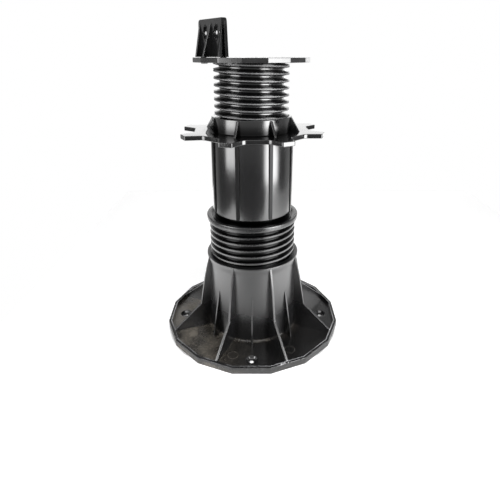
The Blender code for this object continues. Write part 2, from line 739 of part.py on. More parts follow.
def tab_outline():
    """The tab's upright face, its two upper corners rounded."""
    half = TAB_WIDTH / 2
    radius = TAB_CORNER_RADIUS
    steps = 5
    outline = [(-half, 0), (half, 0)]
    for side, start in ((1, 0.0), (-1, math.pi / 2)):
        for i in range(steps + 1):
            angle = start + math.pi / 2 * i / steps
            x = side * (half - radius) + radius * math.cos(angle)
            outline.append((x, TAB_HEIGHT - radius + radius * math.sin(angle)))
    return outline


def disc_edge_at(offset):
    """How far out the disc's edge is, beside the corner that the tab faces."""
    return DISC_CORNER_RADIUS - abs(offset) * math.tan(math.pi / DISC_SIDES)


def tab_gussets():
    """Three tapering gussets on the outer face, each run out to just short of the disc's edge."""
    inside = TAB_FACE_RADIUS - TAB_THICKNESS / 2
    pieces = []
    for i in (-1, 0, 1):
        offset = i * TAB_GUSSET_SPACING
        outline = [
            (inside, TAB_HEIGHT - TAB_GUSSET_DROP),
            (TAB_FACE_RADIUS + EDGE / 2, TAB_HEIGHT - TAB_GUSSET_DROP),
            (disc_edge_at(offset) - TAB_GUSSET_INSET, 0),
            (inside, 0),
        ]
        gusset = flat("tab_gusset", outline, TAB_GUSSET_THICKNESS)
        across = facing_frame(0).col[0].to_3d() * offset
        pieces.append((gusset, Matrix.Translation(across) @ radial_frame(0)))
    bm = bmesh.new()
    for mesh, matrix in pieces:
        mesh.transform(matrix)
        bm.from_mesh(mesh)
    return mesh_of("tab_gussets", bm)


def tab_legs():
    """Two legs that pass through the disc, each with a barb that hooks under it."""
    drop = DISC_THICKNESS + 2 * SEAT_GAP
    back = TAB_FACE_RADIUS - TAB_THICKNESS
    outline = [
        (TAB_FACE_RADIUS, TAB_THICKNESS / 2),
        (TAB_FACE_RADIUS, -drop - TAB_BARB_HEIGHT),
        (back, -drop - TAB_BARB_HEIGHT),
        (back - TAB_BARB_OUT, -drop - TAB_BARB_HEIGHT / 3),
        (back - TAB_BARB_OUT, -drop),
        (back, -drop),
        (back, TAB_THICKNESS / 2),
    ]
    leg = flat("tab_leg", outline, TAB_LEG_WIDTH)
    spots = []
    for side in (-1, 1):
        across = facing_frame(0).col[0].to_3d() * side * TAB_LEG_OFFSET
        spots.append(Matrix.Translation(across) @ radial_frame(0))
    return copies("tab_legs", leg, spots)


def tab_dimples():
    """An oval dimple round each fixing point, sunk into the outer face."""
    half_width = TAB_DIMPLE_WIDTH / 2
    half_height = TAB_DIMPLE_HEIGHT / 2
    steps = 20
    angles = [2 * math.pi * i / steps for i in range(steps)]
    outline = [(half_width * math.cos(a), half_height * math.sin(a)) for a in angles]
    dimple = flat("tab_dimple", outline, 2 * TAB_DIMPLE_DEPTH)
    spots = []
    for side in (-1, 1):
        place = Matrix.Translation((side * TAB_GUSSET_SPACING / 2, TAB_HOLE_HEIGHT, TAB_FACE_RADIUS))
        spots.append(facing_frame(0) @ place)
    return copies("tab_dimples", dimple, spots)


def tab_pilot_holes():
    """A pair of pilot holes through each dimple."""
    bore = cylinder("tab_pilot", TAB_HOLE_BORE / 2, -2 * TAB_THICKNESS, 2 * TAB_THICKNESS, 12)
    spots = []
    for side in (-1, 1):
        for half in (-0.5, 0.5):
            across = side * TAB_GUSSET_SPACING / 2 + half * TAB_HOLE_SPREAD
            place = Matrix.Translation((across, TAB_HOLE_HEIGHT, TAB_FACE_RADIUS))
            spots.append(facing_frame(0) @ place)
    return copies("tab_pilot_holes", bore, spots)


def make_tab(parts, tools, skin):
    """The joist tab, facing the front and then turned to its corner; its origin is on top of the disc."""
    face = flat("joist_tab", tab_outline(), TAB_THICKNESS)
    middle = Matrix.Translation((0, 0, TAB_FACE_RADIUS - TAB_THICKNESS / 2))
    face.transform(facing_frame(0) @ middle)
    tab = add_object("joist_tab", face, parts)
    adds = [add_tool("tab_gussets", tab_gussets(), tools), add_tool("tab_legs", tab_legs(), tools)]
    boolean(tab, adds, "UNION")
    cuts = [add_tool("tab_dimples", tab_dimples(), tools), add_tool("tab_pilot_holes", tab_pilot_holes(), tools)]
    boolean(tab, cuts, "DIFFERENCE")
    finish(tab, skin)
    tab.location.z = TAB_Z
    tab.rotation_euler.z = math.radians(TAB_AZIMUTH)
    return tab


def hang(child, parent):
    """Parents a piece to the one that carries it, keeping its place."""
    child.parent = parent
    child.matrix_parent_inverse = Matrix.Translation(parent.location).inverted()


def main():
    clear_scene()
    parts = new_collection("Decking pedestal")
    tools = new_collection("Cutters")
    satin = material("satin_black_plastic", (0.035, 0.035, 0.037), 0.42)
    gloss = material("gloss_black_plastic", (0.012, 0.012, 0.013), 0.16)
    stem = material("head_black_plastic", (0.022, 0.022, 0.024), 0.24)
    base = make_base(parts, tools, satin)
    tube = make_tube(parts, tools, satin)
    sleeve = make_sleeve(parts, tools, satin)
    ring = make_ring(parts, tools, gloss)
    head = make_head(parts, tools, stem)
    tab = make_tab(parts, tools, stem)
    hang(tube, base)
    hang(sleeve, tube)
    hang(ring, tube)
    hang(head, tube)
    hang(tab, head)


main()
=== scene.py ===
# %% [markdown]
# # A height-adjustable decking pedestal
# A pedestal like this stands on a slab and carries the joist of a deck. Two screws set its height:
# a threaded sleeve in the base, and the head's stem in a star-shaped ring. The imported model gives
# every solid its place, so the pieces below are finer versions of those solids at the same sizes.

import math

import bmesh
import bpy
from mathutils import Matrix, Vector


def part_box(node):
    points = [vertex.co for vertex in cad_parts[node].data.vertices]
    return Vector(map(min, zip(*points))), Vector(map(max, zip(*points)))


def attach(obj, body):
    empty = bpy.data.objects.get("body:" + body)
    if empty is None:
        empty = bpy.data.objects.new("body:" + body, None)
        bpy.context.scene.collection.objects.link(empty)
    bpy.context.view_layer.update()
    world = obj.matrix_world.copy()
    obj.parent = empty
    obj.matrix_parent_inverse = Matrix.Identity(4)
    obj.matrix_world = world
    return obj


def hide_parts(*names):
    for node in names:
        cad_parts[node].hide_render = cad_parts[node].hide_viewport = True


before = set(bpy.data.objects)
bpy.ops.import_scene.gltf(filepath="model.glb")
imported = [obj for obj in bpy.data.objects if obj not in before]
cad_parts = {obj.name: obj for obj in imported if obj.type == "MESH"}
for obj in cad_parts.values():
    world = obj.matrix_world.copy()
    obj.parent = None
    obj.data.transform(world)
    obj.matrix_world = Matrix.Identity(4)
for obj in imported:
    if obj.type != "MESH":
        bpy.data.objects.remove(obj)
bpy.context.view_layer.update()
print("nodes:", sorted(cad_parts))

# %% [markdown]
# ## Points around the screw axis
# Nearly every shape here is round, so places are easiest to give as an azimuth, a radius and a
# height. Azimuth 0 is the front and grows anticlockwise seen from above. Sizes are written in
# millimetres, because that is how moulded parts are dimensioned, and turned into metres at once.

# %% Places around the axis
MM = 0.001


def spot(azimuth, radius, height=0.0):
    """The point at an azimuth in degrees, with its radius and its height in metres."""
    angle = math.radians(azimuth)
    return Vector((radius * math.sin(angle), -radius * math.cos(angle), height))


def mm(*points):
    """Outline points given in millimetres, in metres."""
    return [(a * MM, b * MM) for a, b in points]


def standing(azimuth):
    """Turns an outline drawn as (outwards, up) into a plate that stands on a radius."""
    out = spot(azimuth, 1.0)
    up = Vector((0, 0, 1))
    return Matrix((out, up, out.cross(up))).transposed().to_4x4()


def facing(azimuth):
    """Turns an outline drawn as (across, up) into a plate that faces outwards."""
    out = spot(azimuth, 1.0)
    up = Vector((0, 0, 1))
    return Matrix((up.cross(out), up, out)).transposed().to_4x4()


low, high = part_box("base")
print("base is", round((high.x - low.x) / MM, 1), "mm wide")

# %% Sizes that the finishes and the shapes share
# The base: its corners' radius, its rim's height and wall, its floor, and the circle of its screws.
SIDES = 16
CORNER = 73.3
RIM = 5.4
RIM_WALL = 2.55
FLOOR = 2.4
SCREW_CIRCLE = 59.6
SINK_RADIUS = 4.7
# The heights at which the sleeve's collar, the tube, the ring and the head's disc start.
SLEEVE = 96.8
TUBE = 103.9
RING = 164.4
HEAD = 216.7
DISC = 3.3
# Each screw's pitch, and the height of one of its crests at azimuth 0.
LOWER_PITCH = 5.3
LOWER_CREST = 91.0
UPPER_PITCH = 5.1
UPPER_CREST = 215.4
TAB_AZIMUTH = -51.75
print("the disc's top stands at", HEAD + DISC, "mm")

# %% [markdown]
# ## Outlines, turned shapes and plates
# A moulded part has no truly sharp edge. A turned part gets its small radii in the outline itself,
# where each corner becomes a short arc. A flat part is cut out of an outline first and its edges are
# rounded afterwards with a Bevel, and a Weighted Normal step keeps the broad faces flat in the light.

# %% Rounding an outline
LESS_THAN_HALF = 0.48


def rounded(outline, radii, steps):
    """The closed outline with each corner drawn as an arc of its own radius in millimetres."""
    made = []
    for i, corner in enumerate(outline):
        here = Vector(corner)
        before = Vector(outline[i - 1]) - here
        after = Vector(outline[(i + 1) % len(outline)]) - here
        reach = min(radii[i] * MM, before.length * LESS_THAN_HALF, after.length * LESS_THAN_HALF)
        if reach < 1e-6:
            made.append(here)
            continue
        start = here + before.normalized() * reach
        end = here + after.normalized() * reach
        for j in range(steps + 1):
            t = j / steps
            made.append(start * (1 - t) ** 2 + here * (2 * t * (1 - t)) + end * t**2)
    return made


square = mm((0, 0), (20, 0), (20, 20), (0, 20))
print("a rounded square has", len(rounded(square, [2, 2, 2, 2], 4)), "points")


# %% Meshes from outlines
def closed(name, bm):
    """A mesh with its doubles merged and its faces pointing outwards."""
    bmesh.ops.remove_doubles(bm, verts=bm.verts, dist=1e-7)
    bmesh.ops.dissolve_degenerate(bm, edges=bm.edges, dist=1e-7)
    bmesh.ops.recalc_face_normals(bm, faces=bm.faces)
    mesh = bpy.data.meshes.new(name)
    bm.to_mesh(mesh)
    bm.free()
    return mesh


def turned(name, outline, steps, turn=0.0):
    """The closed (radius, height) outline spun about the screw axis."""
    axis = {"cent": (0, 0, 0), "axis": (0, 0, 1)}
    bm = bmesh.new()
    ring = [bm.verts.new((point[0], 0, point[1])) for point in outline]
    edges = [bm.edges.new(pair) for pair in zip(ring, ring[1:] + ring[:1])]
    bmesh.ops.spin(bm, geom=ring + edges, angle=2 * math.pi, steps=steps, use_merge=True, **axis)
    started = Matrix.Rotation(math.radians(turn), 3, "Z")
    bmesh.ops.rotate(bm, verts=bm.verts, cent=(0, 0, 0), matrix=started)
    return closed(name, bm)


def plate(name, outline, bottom, top):
    """The outline in XY made solid between two heights in millimetres."""
    bm = bmesh.new()
    lower = [bm.verts.new((point[0], point[1], bottom * MM)) for point in outline]
    upper = [bm.verts.new((point[0], point[1], top * MM)) for point in outline]
    bm.faces.new(lower)
    bm.faces.new(upper)
    for i in range(len(outline)):
        j = (i + 1) % len(outline)
        bm.faces.new((lower[i], lower[j], upper[j], upper[i]))
    return closed(name, bm)


# %% Objects that come and go
def placed(name, data):
    """A new object in the scene, at the origin."""
    obj = bpy.data.objects.new(name, data)
    bpy.context.scene.collection.objects.link(obj)
    return obj


def settled(obj, name):
    """The object's mesh with its modifiers carried out; the object itself goes."""
    graph = bpy.context.evaluated_depsgraph_get()
    final = obj.evaluated_get(graph)
    mesh = bpy.data.meshes.new_from_object(final, preserve_all_data_layers=True, depsgraph=graph)
    bpy.data.objects.remove(obj)
    mesh.name = name
    return mesh


def dressed(mesh, steps):
    """The mesh after some modifiers, each given as (type, settings)."""
    obj = placed(mesh.name, mesh)
    for kind, settings in steps:
        step = obj.modifiers.new(kind.title(), kind)
        for key, value in settings.items():
            setattr(step, key, value)
    return settled(obj, mesh.name)


# %% Cutting, rounding and joining
def soften(mesh, width, segments, angle=24.0):
    """Rounds the edges of a flat-sided mesh and keeps its broad faces flat in the light."""
    bevel = {"width": width * MM, "segments": segments, "use_clamp_overlap": True}
    bevel["limit_method"] = "ANGLE"
    bevel["angle_limit"] = math.radians(angle)
    for face in mesh.polygons:
        face.use_smooth = True
    return dressed(mesh, [("BEVEL", bevel), ("WEIGHTED_NORMAL", {"keep_sharp": True})])


def cut(mesh, *tools):
    """The mesh with other meshes taken out of it."""
    cutters = [placed(tool.name, tool) for tool in tools]
    away = {"operation": "DIFFERENCE", "solver": "EXACT"}
    made = dressed(mesh, [("BOOLEAN", {**away, "object": cutter}) for cutter in cutters])
    for cutter in cutters:
        bpy.data.objects.remove(cutter)
    return made


def joined(name, meshes):
    """Several meshes as one, their normals kept."""
    objects = [placed(name, mesh) for mesh in meshes]
    with bpy.context.temp_override(
        active_object=objects[0], selected_objects=objects, selected_editable_objects=objects
    ):
        bpy.ops.object.join()
    mesh = objects[0].data
    bpy.data.objects.remove(objects[0])
    mesh.name = name
    return mesh


def smooth(mesh, angle=32.0):
    """Shades a mesh smooth, except across edges sharper than the angle."""
    mesh.shade_smooth()
    mesh.set_sharp_from_angle(angle=math.radians(angle))
    return mesh


# %% [markdown]
# ## A small language for nodes
# Patterns of geometry, materials and the world are all trees of nodes. Written out node by node,
# even a short sum fills a page. One small class wraps a socket, so that an expression on it adds its
# own Math nodes, and a mask or a curve then reads like the sentence that describes it.

# %% Wires and nodes
class Wire:
    """A node's output that can be used in ordinary arithmetic."""

    def __init__(self, nodes, socket):
        self.nodes = nodes
        self.socket = socket

    def math(self, operation, *others):
        return self.nodes.calculate(operation, self, *others)

    def __add__(self, other):
        return self.math("ADD", other)

    def __sub__(self, other):
        return self.math("SUBTRACT", other)

    def __rsub__(self, other):
        return self.nodes.calculate("SUBTRACT", other, self)

    def __mul__(self, other):
        return self.math("MULTIPLY", other)

    def __truediv__(self, other):
        return self.math("DIVIDE", other)

    def __pow__(self, other):
        return self.math("POWER", other)

    __radd__ = __add__
    __rmul__ = __mul__


class Nodes:
    """Any tree of nodes, built by calls."""

    def __init__(self, tree):
        self.tree = tree

    def feed(self, socket, value):
        """Links a wire to a socket, or writes a plain value on it."""
        if isinstance(value, Wire):
            self.tree.links.new(value.socket, socket)
        else:
            socket.default_value = value

    def add(self, kind, settings=None, values=None, output=0):
        """One node: its settings first, then the values or links of its sockets."""
        node = self.tree.nodes.new(kind)
        for key, value in (settings or {}).items():
            setattr(node, key, value)
        for key, value in (values or {}).items():
            self.feed(node.inputs[key], value)
        return Wire(self, node.outputs[output])

    def calculate(self, operation, *terms):
        """One Math node over some wires and numbers."""
        return self.add("ShaderNodeMath", {"operation": operation}, dict(enumerate(terms)))

    def apart(self, vector):
        """The x, y and z of a vector."""
        first = self.add("ShaderNodeSeparateXYZ", None, {0: vector})
        return [Wire(self, output) for output in first.socket.node.outputs]

    def ramp(self, value, start, end, low=0.0, high=1.0, slope="LINEAR"):
        """Low before start, high after end, and a slope between them."""
        values = {"Value": value, "From Min": start, "From Max": end, "To Min": low, "To Max": high}
        return self.add("ShaderNodeMapRange", {"interpolation_type": slope}, values)


# %% [markdown]
# ## Geometry Nodes: rings of copies and screw threads
# Ribs, gussets and lobes repeat around the axis, and a screw thread follows a simple rule, so both
# are made by small node trees with named inputs. The ring tree places one copy for each point and
# turns it by its share of a circle. The thread tree bends one flat grid: along the grid the point
# goes round and rises by the pitch, and across it the radius swells into one ridge. Neighbouring
# turns share their edges, so the whole thread is one skin, where a ridge swept along a helix would
# still have to be joined to its wall.

# %% Growing a mesh from a tree
class GrowthTree(Nodes):
    """A Geometry Nodes tree with named inputs and one geometry output."""

    def __init__(self, name, inputs):
        group = bpy.data.node_groups.new(name, "GeometryNodeTree")
        group.is_modifier = True
        face = group.interface
        face.new_socket("Geometry", in_out="OUTPUT", socket_type="NodeSocketGeometry")
        for label, kind in inputs.items():
            face.new_socket(label, in_out="INPUT", socket_type="NodeSocket" + kind)
        super().__init__(group)
        self.entry = group.nodes.new("NodeGroupInput")
        self.exit = group.nodes.new("NodeGroupOutput")

    def input(self, label):
        return Wire(self, self.entry.outputs[label])

    def finish(self, geometry, material):
        """Realises the copies, gives them their material and closes the tree."""
        real = self.add("GeometryNodeRealizeInstances", None, {"Geometry": geometry})
        done = self.add("GeometryNodeSetMaterial", None, {"Geometry": real, "Material": material})
        self.feed(self.exit.inputs[0], done)


def grown(name, tree, values):
    """Runs a tree with the given inputs and keeps its result as a plain mesh."""
    obj = placed(name, bpy.data.meshes.new(name))
    step = obj.modifiers.new(name, "NODES")
    step.node_group = tree.tree
    inputs = [item for item in tree.tree.interface.items_tree if item.in_out == "INPUT"]
    sockets = {item.name: item.identifier for item in inputs}
    for label, value in values.items():
        step[sockets[label]] = value
    return settled(obj, name)


# %% The ring tree
ring_inputs = {"Piece": "Object", "Count": "Int", "First azimuth": "Float", "Material": "Material"}
ring_tree = GrowthTree("Ring of copies", ring_inputs)
as_drawn = {"transform_space": "ORIGINAL"}
drawn = {"Object": ring_tree.input("Piece")}
piece = ring_tree.add("GeometryNodeObjectInfo", as_drawn, drawn, "Geometry")
count = ring_tree.input("Count")
points = ring_tree.add("GeometryNodePoints", None, {"Count": count, "Position": (0, 0, 0)})
index = ring_tree.add("GeometryNodeInputIndex")
share = index / count * (2 * math.pi) + ring_tree.input("First azimuth") * (math.pi / 180)
turn = ring_tree.add("ShaderNodeCombineXYZ", None, {"Z": share})
copies = ring_tree.add(
    "GeometryNodeInstanceOnPoints", None, {"Points": points, "Instance": piece, "Rotation": turn}
)
ring_tree.finish(copies, ring_tree.input("Material"))


def around(name, mesh, number, first):
    """A ring of copies of a mesh that was drawn at azimuth 0."""
    pattern = placed(name + "_pattern", mesh)
    made = grown(name, ring_tree, {"Piece": pattern, "Count": number, "First azimuth": first})
    bpy.data.objects.remove(pattern)
    return made


print("ring tree:", len(ring_tree.tree.nodes), "nodes")

# %% The thread tree: its inputs and its grid
RIDGE_POINTS = 25
WELD = 0.00001
thread_lengths = ("Root radius", "Depth", "Pitch", "Crest height", "Low", "High")
thread_inputs = dict.fromkeys(thread_lengths + ("Hand", "Crest share", "Root share"), "Float")
thread_inputs.update({"Turns": "Int", "Steps": "Int", "Material": "Material"})
thread_tree = GrowthTree("Screw thread", thread_inputs)
pitch = thread_tree.input("Pitch")
turns = thread_tree.input("Turns")
crest = thread_tree.input("Crest height")
low_end = thread_tree.input("Low")
high_end = thread_tree.input("High")
columns = turns * thread_tree.input("Steps") + 1
grid_size = {"Size X": 1.0, "Size Y": 1.0, "Vertices X": columns, "Vertices Y": RIDGE_POINTS}
grid = thread_tree.add("GeometryNodeMeshGrid", None, grid_size)
x, across, _ = thread_tree.apart(thread_tree.add("GeometryNodeInputPosition"))
along = (x + 0.5) * turns
print("thread tree has", len(thread_inputs), "inputs")

# %% The thread tree: its helix and its ridge
low_turn = (crest - low_end) / pitch
height = crest + (along - (low_turn.math("CEIL") + 1) + across) * pitch
root_edge = thread_tree.input("Root share") / 2
crest_edge = thread_tree.input("Crest share") / 2
ridge = thread_tree.ramp(across.math("ABSOLUTE"), root_edge, crest_edge, slope="SMOOTHSTEP")
run_in = thread_tree.ramp((height - low_end) / pitch, 0.1, 0.9)
run_out = thread_tree.ramp((high_end - height) / pitch, -0.2, 0.0)
radius = thread_tree.input("Root radius") + thread_tree.input("Depth") * ridge * run_in * run_out
angle = along * (2 * math.pi) * thread_tree.input("Hand")
bent = {
    "X": radius * angle.math("SINE"),
    "Y": radius * angle.math("COSINE") * -1.0,
    "Z": height.math("MAXIMUM", low_end).math("MINIMUM", high_end),
}
place = thread_tree.add("ShaderNodeCombineXYZ", None, bent)
skin = thread_tree.add("GeometryNodeSetPosition", None, {"Geometry": grid, "Position": place})
welded = thread_tree.add("GeometryNodeMergeByDistance", None, {"Geometry": skin, "Distance": WELD})
thread_tree.finish(welded, thread_tree.input("Material"))
print("thread tree:", len(thread_tree.tree.nodes), "nodes")

# %% Making a thread
RIGHT_HAND = 1
LEFT_HAND = -1
STEPS_IN_A_TURN = 96


def looks_out(bm):
    """Whether the upright faces look away from the axis, on the whole."""
    total = 0.0
    for face in bm.faces:
        if abs(face.normal.z) < 0.5:
            total += face.normal.xy.dot(face.calc_center_median().xy)
    return total > 0


def thread(name, root, depth, pitch, hand, crest, low, high, shares):
    """The skin of a thread in millimetres; shares are those of its crest and its foot in a pitch."""
    lengths = zip(thread_lengths, (root, depth, pitch, crest, low, high))
    values = {label: length * MM for label, length in lengths}
    values.update({"Hand": float(hand), "Crest share": shares[0], "Root share": shares[1]})
    values.update({"Turns": math.ceil((high - low) / pitch) + 3, "Steps": STEPS_IN_A_TURN})
    mesh = grown(name, thread_tree, values)
    bm = bmesh.new()
    bm.from_mesh(mesh)
    # A negative depth makes an internal thread, whose wall looks towards the axis.
    if looks_out(bm) != (depth > 0):
        bmesh.ops.reverse_faces(bm, faces=bm.faces)
    bm.to_mesh(mesh)
    bm.free()
    print(name, "has", len(mesh.polygons), "faces")
    return smooth(mesh, 50)


# %% [markdown]
# ## Finishes written as expressions
# All the pieces are the same black polypropylene, but the moulds were polished differently, so the
# base is satin, the tube silky and the star ring glossy. Wear, dust and the painted highlights and
# shade could be put on an image, but an image has to be unwrapped onto every piece. Here they are
# worked out from a point's own coordinates, which fit any shape.

# %% A finish
class Finish(Nodes):
    """A Principled material; set() lays a pattern over its plain colour and roughness."""

    def __init__(self, name, colour, roughness):
        self.material = bpy.data.materials.new(name)
        self.material.use_nodes = True
        super().__init__(self.material.node_tree)
        self.shader = self.tree.nodes["Principled BSDF"]
        self.set("Base Color", (*colour, 1))
        self.set("Roughness", roughness)
        self.set("IOR", 1.6)
        self.set("Specular IOR Level", 1.0)
        self.place = self.add("ShaderNodeTexCoord", output="Object")
        self.x, self.y, self.z = self.apart(self.place)

    def set(self, name, value):
        self.feed(self.shader.inputs[name], value)

    def step(self, value, start, end):
        """0 below start and 1 above end, with a smooth ramp between them."""
        return self.ramp(value, start, end, slope="SMOOTHSTEP")

    def band(self, value, start, full, fading, end):
        """1 between full and fading, and 0 outside start and end."""
        return self.step(value, start, full) * (1 - self.step(value, fading, end))

    def beyond(self, distance, start, end):
        """0 below start and 1 above end, both in millimetres."""
        return self.step(distance, start * MM, end * MM)

    def within(self, distance, start, end):
        """1 below start and 0 above end, both in millimetres."""
        return 1 - self.beyond(distance, start, end)

    def radius(self):
        return (self.x * self.x + self.y * self.y) ** 0.5

    def distance_to(self, centre):
        """How far a point lies from the upright line through a centre."""
        away_x = self.x - centre.x
        away_y = self.y - centre.y
        return (away_x * away_x + away_y * away_y) ** 0.5

    def noise(self, scale, detail, stretch=(1, 1, 1)):
        """Even noise over the surface, with stretched coordinates where it should run one way."""
        where = self.add("ShaderNodeMapping", None, {"Vector": self.place, "Scale": stretch})
        return self.add("ShaderNodeTexNoise", None, {"Vector": where, "Scale": scale, "Detail": detail})

    def mix(self, factor, first, second):
        """A colour between two, by a factor."""
        return self.add("ShaderNodeMix", {"data_type": "RGBA"}, {0: factor, 6: first, 7: second}, 2)

    def bump(self, height, distance):
        values = {"Height": height, "Distance": distance, "Strength": 1.0}
        self.set("Normal", self.add("ShaderNodeBump", None, values))


# %% Colours
CHARCOAL = (0.0050, 0.0050, 0.0054)
DEEP = (0.0028, 0.0028, 0.0031)
DUST = (0.185, 0.164, 0.134)
PALE_GREY = (0.42, 0.42, 0.43)


def shade(colour, factor=1.0):
    return (colour[0] * factor, colour[1] * factor, colour[2] * factor, 1.0)


# %% [markdown]
# ## The base's finish
# The base stands on the ground and is handled with dirty gloves, so olive-brown dust lies on the flat
# of the plate, most of it on the left, with a line of it at the foot of the socket. A painted
# highlight, a pale line, runs along the rim's inner edge in places, and the rim's top has pale specks
# at the front right. The faint circles on the plate are the marks of the pins that push the part out
# of its mould. The countersinks are smoother than the rest, because the pins that form them are
# turned and polished. Each mark is a mask, made from the height of a point and its distance from a
# few centres, so it can be moved by changing one number.

# %% Dust on the base
base_finish = Finish("satin_base_plastic", CHARCOAL, 0.36)
cloud = base_finish.noise(38, 4)
grain = base_finish.noise(900, 3)
speck = base_finish.noise(520, 1)
reach = base_finish.radius()
on_floor = base_finish.within(base_finish.z, FLOOR + 0.2, FLOOR + 2.1)
near_wall = base_finish.beyond(reach, 66.0, 70.0)
near_foot = base_finish.within(reach, 38.5, 46.0)
left_side = base_finish.within(base_finish.x, -30.0, 4.0)
foot_line = base_finish.within(reach, 39.8, 40.6) * base_finish.within(base_finish.x, 12.0, 22.0)
patchy = base_finish.step(cloud, 0.38, 0.64)
powder = base_finish.step(speck, 0.50, 0.66)
depth_of_dust = 0.03 + 1.25 * left_side + 0.04 * near_wall + 0.15 * near_foot + foot_line
dust = on_floor * depth_of_dust * (0.25 + patchy * 0.75)
print("base finish starts with", len(base_finish.tree.nodes), "nodes")

# %% Countersinks and ejector marks
EJECTOR_CIRCLE = 56.3
EJECTOR_PINS = {-59.6: 3.6, -15.0: 4.0, 31.7: 4.0, 75.0: 4.0, 165.0: 4.0}
PALE_PIN = -59.6
to_side = base_finish.x.math("ABSOLUTE")
to_back = base_finish.y.math("ABSOLUTE")
outward = to_side.math("MAXIMUM", to_back) - SCREW_CIRCLE * MM
sideways = to_side.math("MINIMUM", to_back)
from_screw = (outward * outward + sideways * sideways) ** 0.5
in_sink = base_finish.within(from_screw, SINK_RADIUS, SINK_RADIUS + 0.4)


def from_pin(azimuth):
    return base_finish.distance_to(spot(azimuth, EJECTOR_CIRCLE * MM))


marks = 0.0
for azimuth, size in EJECTOR_PINS.items():
    away = from_pin(azimuth)
    marks = marks + base_finish.beyond(away, size - 0.5, size) * base_finish.within(away, size, size + 0.5)
pale_disc = on_floor * base_finish.within(from_pin(PALE_PIN), 2.8, 3.4)
print("base finish: 4 countersinks,", len(EJECTOR_PINS), "ejector marks")

# %% Wear, pale specks and a painted highlight on the rim
RIM_EDGE = round((CORNER - RIM_WALL) * math.cos(math.pi / SIDES), 1)
scratch = base_finish.step(base_finish.noise(220, 2, (1.0, 1.0, 14.0)), 0.58, 0.66)
rim_wear = base_finish.beyond(reach, 69.0, 71.0) * scratch
round_axis = base_finish.y.math("ARCTAN2", base_finish.x)
across_sides = reach * round_axis.math("PINGPONG", math.pi / SIDES).math("COSINE")
# Pale specks on the rim's top at the front right.
pale_specks = base_finish.step(speck, 0.50, 0.60)
pale_specks = pale_specks * base_finish.within(base_finish.distance_to(spot(20, 71.5 * MM)), 3.0, 6.5)
pale_specks = pale_specks * base_finish.beyond(base_finish.z, RIM - 0.4, RIM - 0.1)
pale_specks = pale_specks * base_finish.beyond(across_sides, RIM_EDGE, RIM_EDGE + 0.4)
# Painted highlight: a pale line along the rim's inner top edge, where the edge catches the light.
painted_edge_highlight = base_finish.beyond(across_sides, RIM_EDGE - 0.2, RIM_EDGE)
painted_edge_highlight = painted_edge_highlight * base_finish.within(across_sides, RIM_EDGE + 0.6, RIM_EDGE + 0.9)
painted_edge_highlight = painted_edge_highlight * base_finish.beyond(base_finish.z, RIM - 0.8, RIM - 0.5)
painted_edge_highlight = painted_edge_highlight * base_finish.step(cloud, 0.35, 0.55)
print("the rim's inner edge lies", RIM_EDGE, "mm from the axis")

# %% Dust, marks, pale specks and the painted edge highlight together
covered = dust * (0.55 + powder * 0.45) + pale_disc * 0.5 + marks * on_floor * 0.2
clamped = {"operation": "MULTIPLY", "use_clamp": True}
dusty = base_finish.add("ShaderNodeMath", clamped, {0: covered, 1: 1 - in_sink})
plastic = base_finish.mix(cloud, shade(CHARCOAL, 0.8), shade(CHARCOAL, 1.25))
dusted = base_finish.mix(dusty, plastic, shade(DUST))
# The pale specks and the painted edge highlight, mixed in as pale grey.
specks_and_edge_highlight = pale_specks.math("MAXIMUM", painted_edge_highlight)
base_finish.set("Base Color", base_finish.mix(specks_and_edge_highlight, dusted, shade(PALE_GREY)))
low_down = base_finish.within(base_finish.z, 6.0, 40.0)
dull = 0.27 + cloud * 0.08 + dusty * 0.30 + rim_wear * 0.12
base_finish.set("Roughness", dull * (1 - in_sink * 0.65 - low_down * 0.30))
base_finish.bump(grain * 0.4 + marks * on_floor * 4.0 + rim_wear * 1.5 + cloud * 1.5, 0.00004)
print("base finish:", len(base_finish.tree.nodes), "nodes")

# %% [markdown]
# ## The tube's and the sleeve's finish
# The tube is silkier than the base. Plastic flowed up its mould, so the light on it breaks into faint
# vertical streaks, which come from noise stretched along the height. The flat faces of its ribs are
# made dark, apart from the ones on the right, and the neck in the gap below carries painted shade.
# The sleeve has painted shade in its grooves, and crests that the socket's thread has rubbed pale,
# partly a painted light that makes the grooves look shaded. However dark its colour is, a plain
# plastic still mirrors a lamp, so painted shade is a high Metallic instead: a metal mirrors only its
# own colour, which is nearly black here.

# %% Silky tube plastic
tube_finish = Finish("silky_tube_plastic", CHARCOAL, 0.24)
streak = tube_finish.noise(260, 3, (1.0, 1.0, 0.03))
cloud = tube_finish.noise(30, 3)
fine = tube_finish.noise(1100, 2)
speck = tube_finish.noise(700, 1)
on_rib = tube_finish.beyond(tube_finish.radius(), 31.85, 32.0)
painted_neck_shade = tube_finish.within(tube_finish.z, TUBE - 0.3, TUBE + 0.2)
on_right = tube_finish.beyond(tube_finish.x, 24.0, 27.0)
plastic = tube_finish.mix(cloud, shade(CHARCOAL, 0.75), shade(CHARCOAL, 1.15))
# Painted shade: the neck in the gap below the tube is painted dark and blackened with a high Metallic. The
# Metallic also makes the rib faces dark, except on the right.
tube_finish.set("Base Color", tube_finish.mix(painted_neck_shade, plastic, shade(CHARCOAL, 0.2)))
tube_finish.set("Metallic", on_rib * (0.8 - on_right * 0.7) + painted_neck_shade * 0.85)
tube_finish.set("Roughness", 0.14 + streak * 0.06 + cloud * 0.04 + on_rib * 0.20)
tube_finish.bump(streak * 0.6 + cloud * 2.0 + fine * 0.08 + on_rib * speck * 1.5, 0.00003)
print("tube finish:", len(tube_finish.tree.nodes), "nodes")

# %% Sleeve plastic with rubbed crests
sleeve_finish = Finish("threaded_sleeve_plastic", DEEP, 0.28)
cloud = sleeve_finish.noise(60, 3)
fine = sleeve_finish.noise(1000, 2)
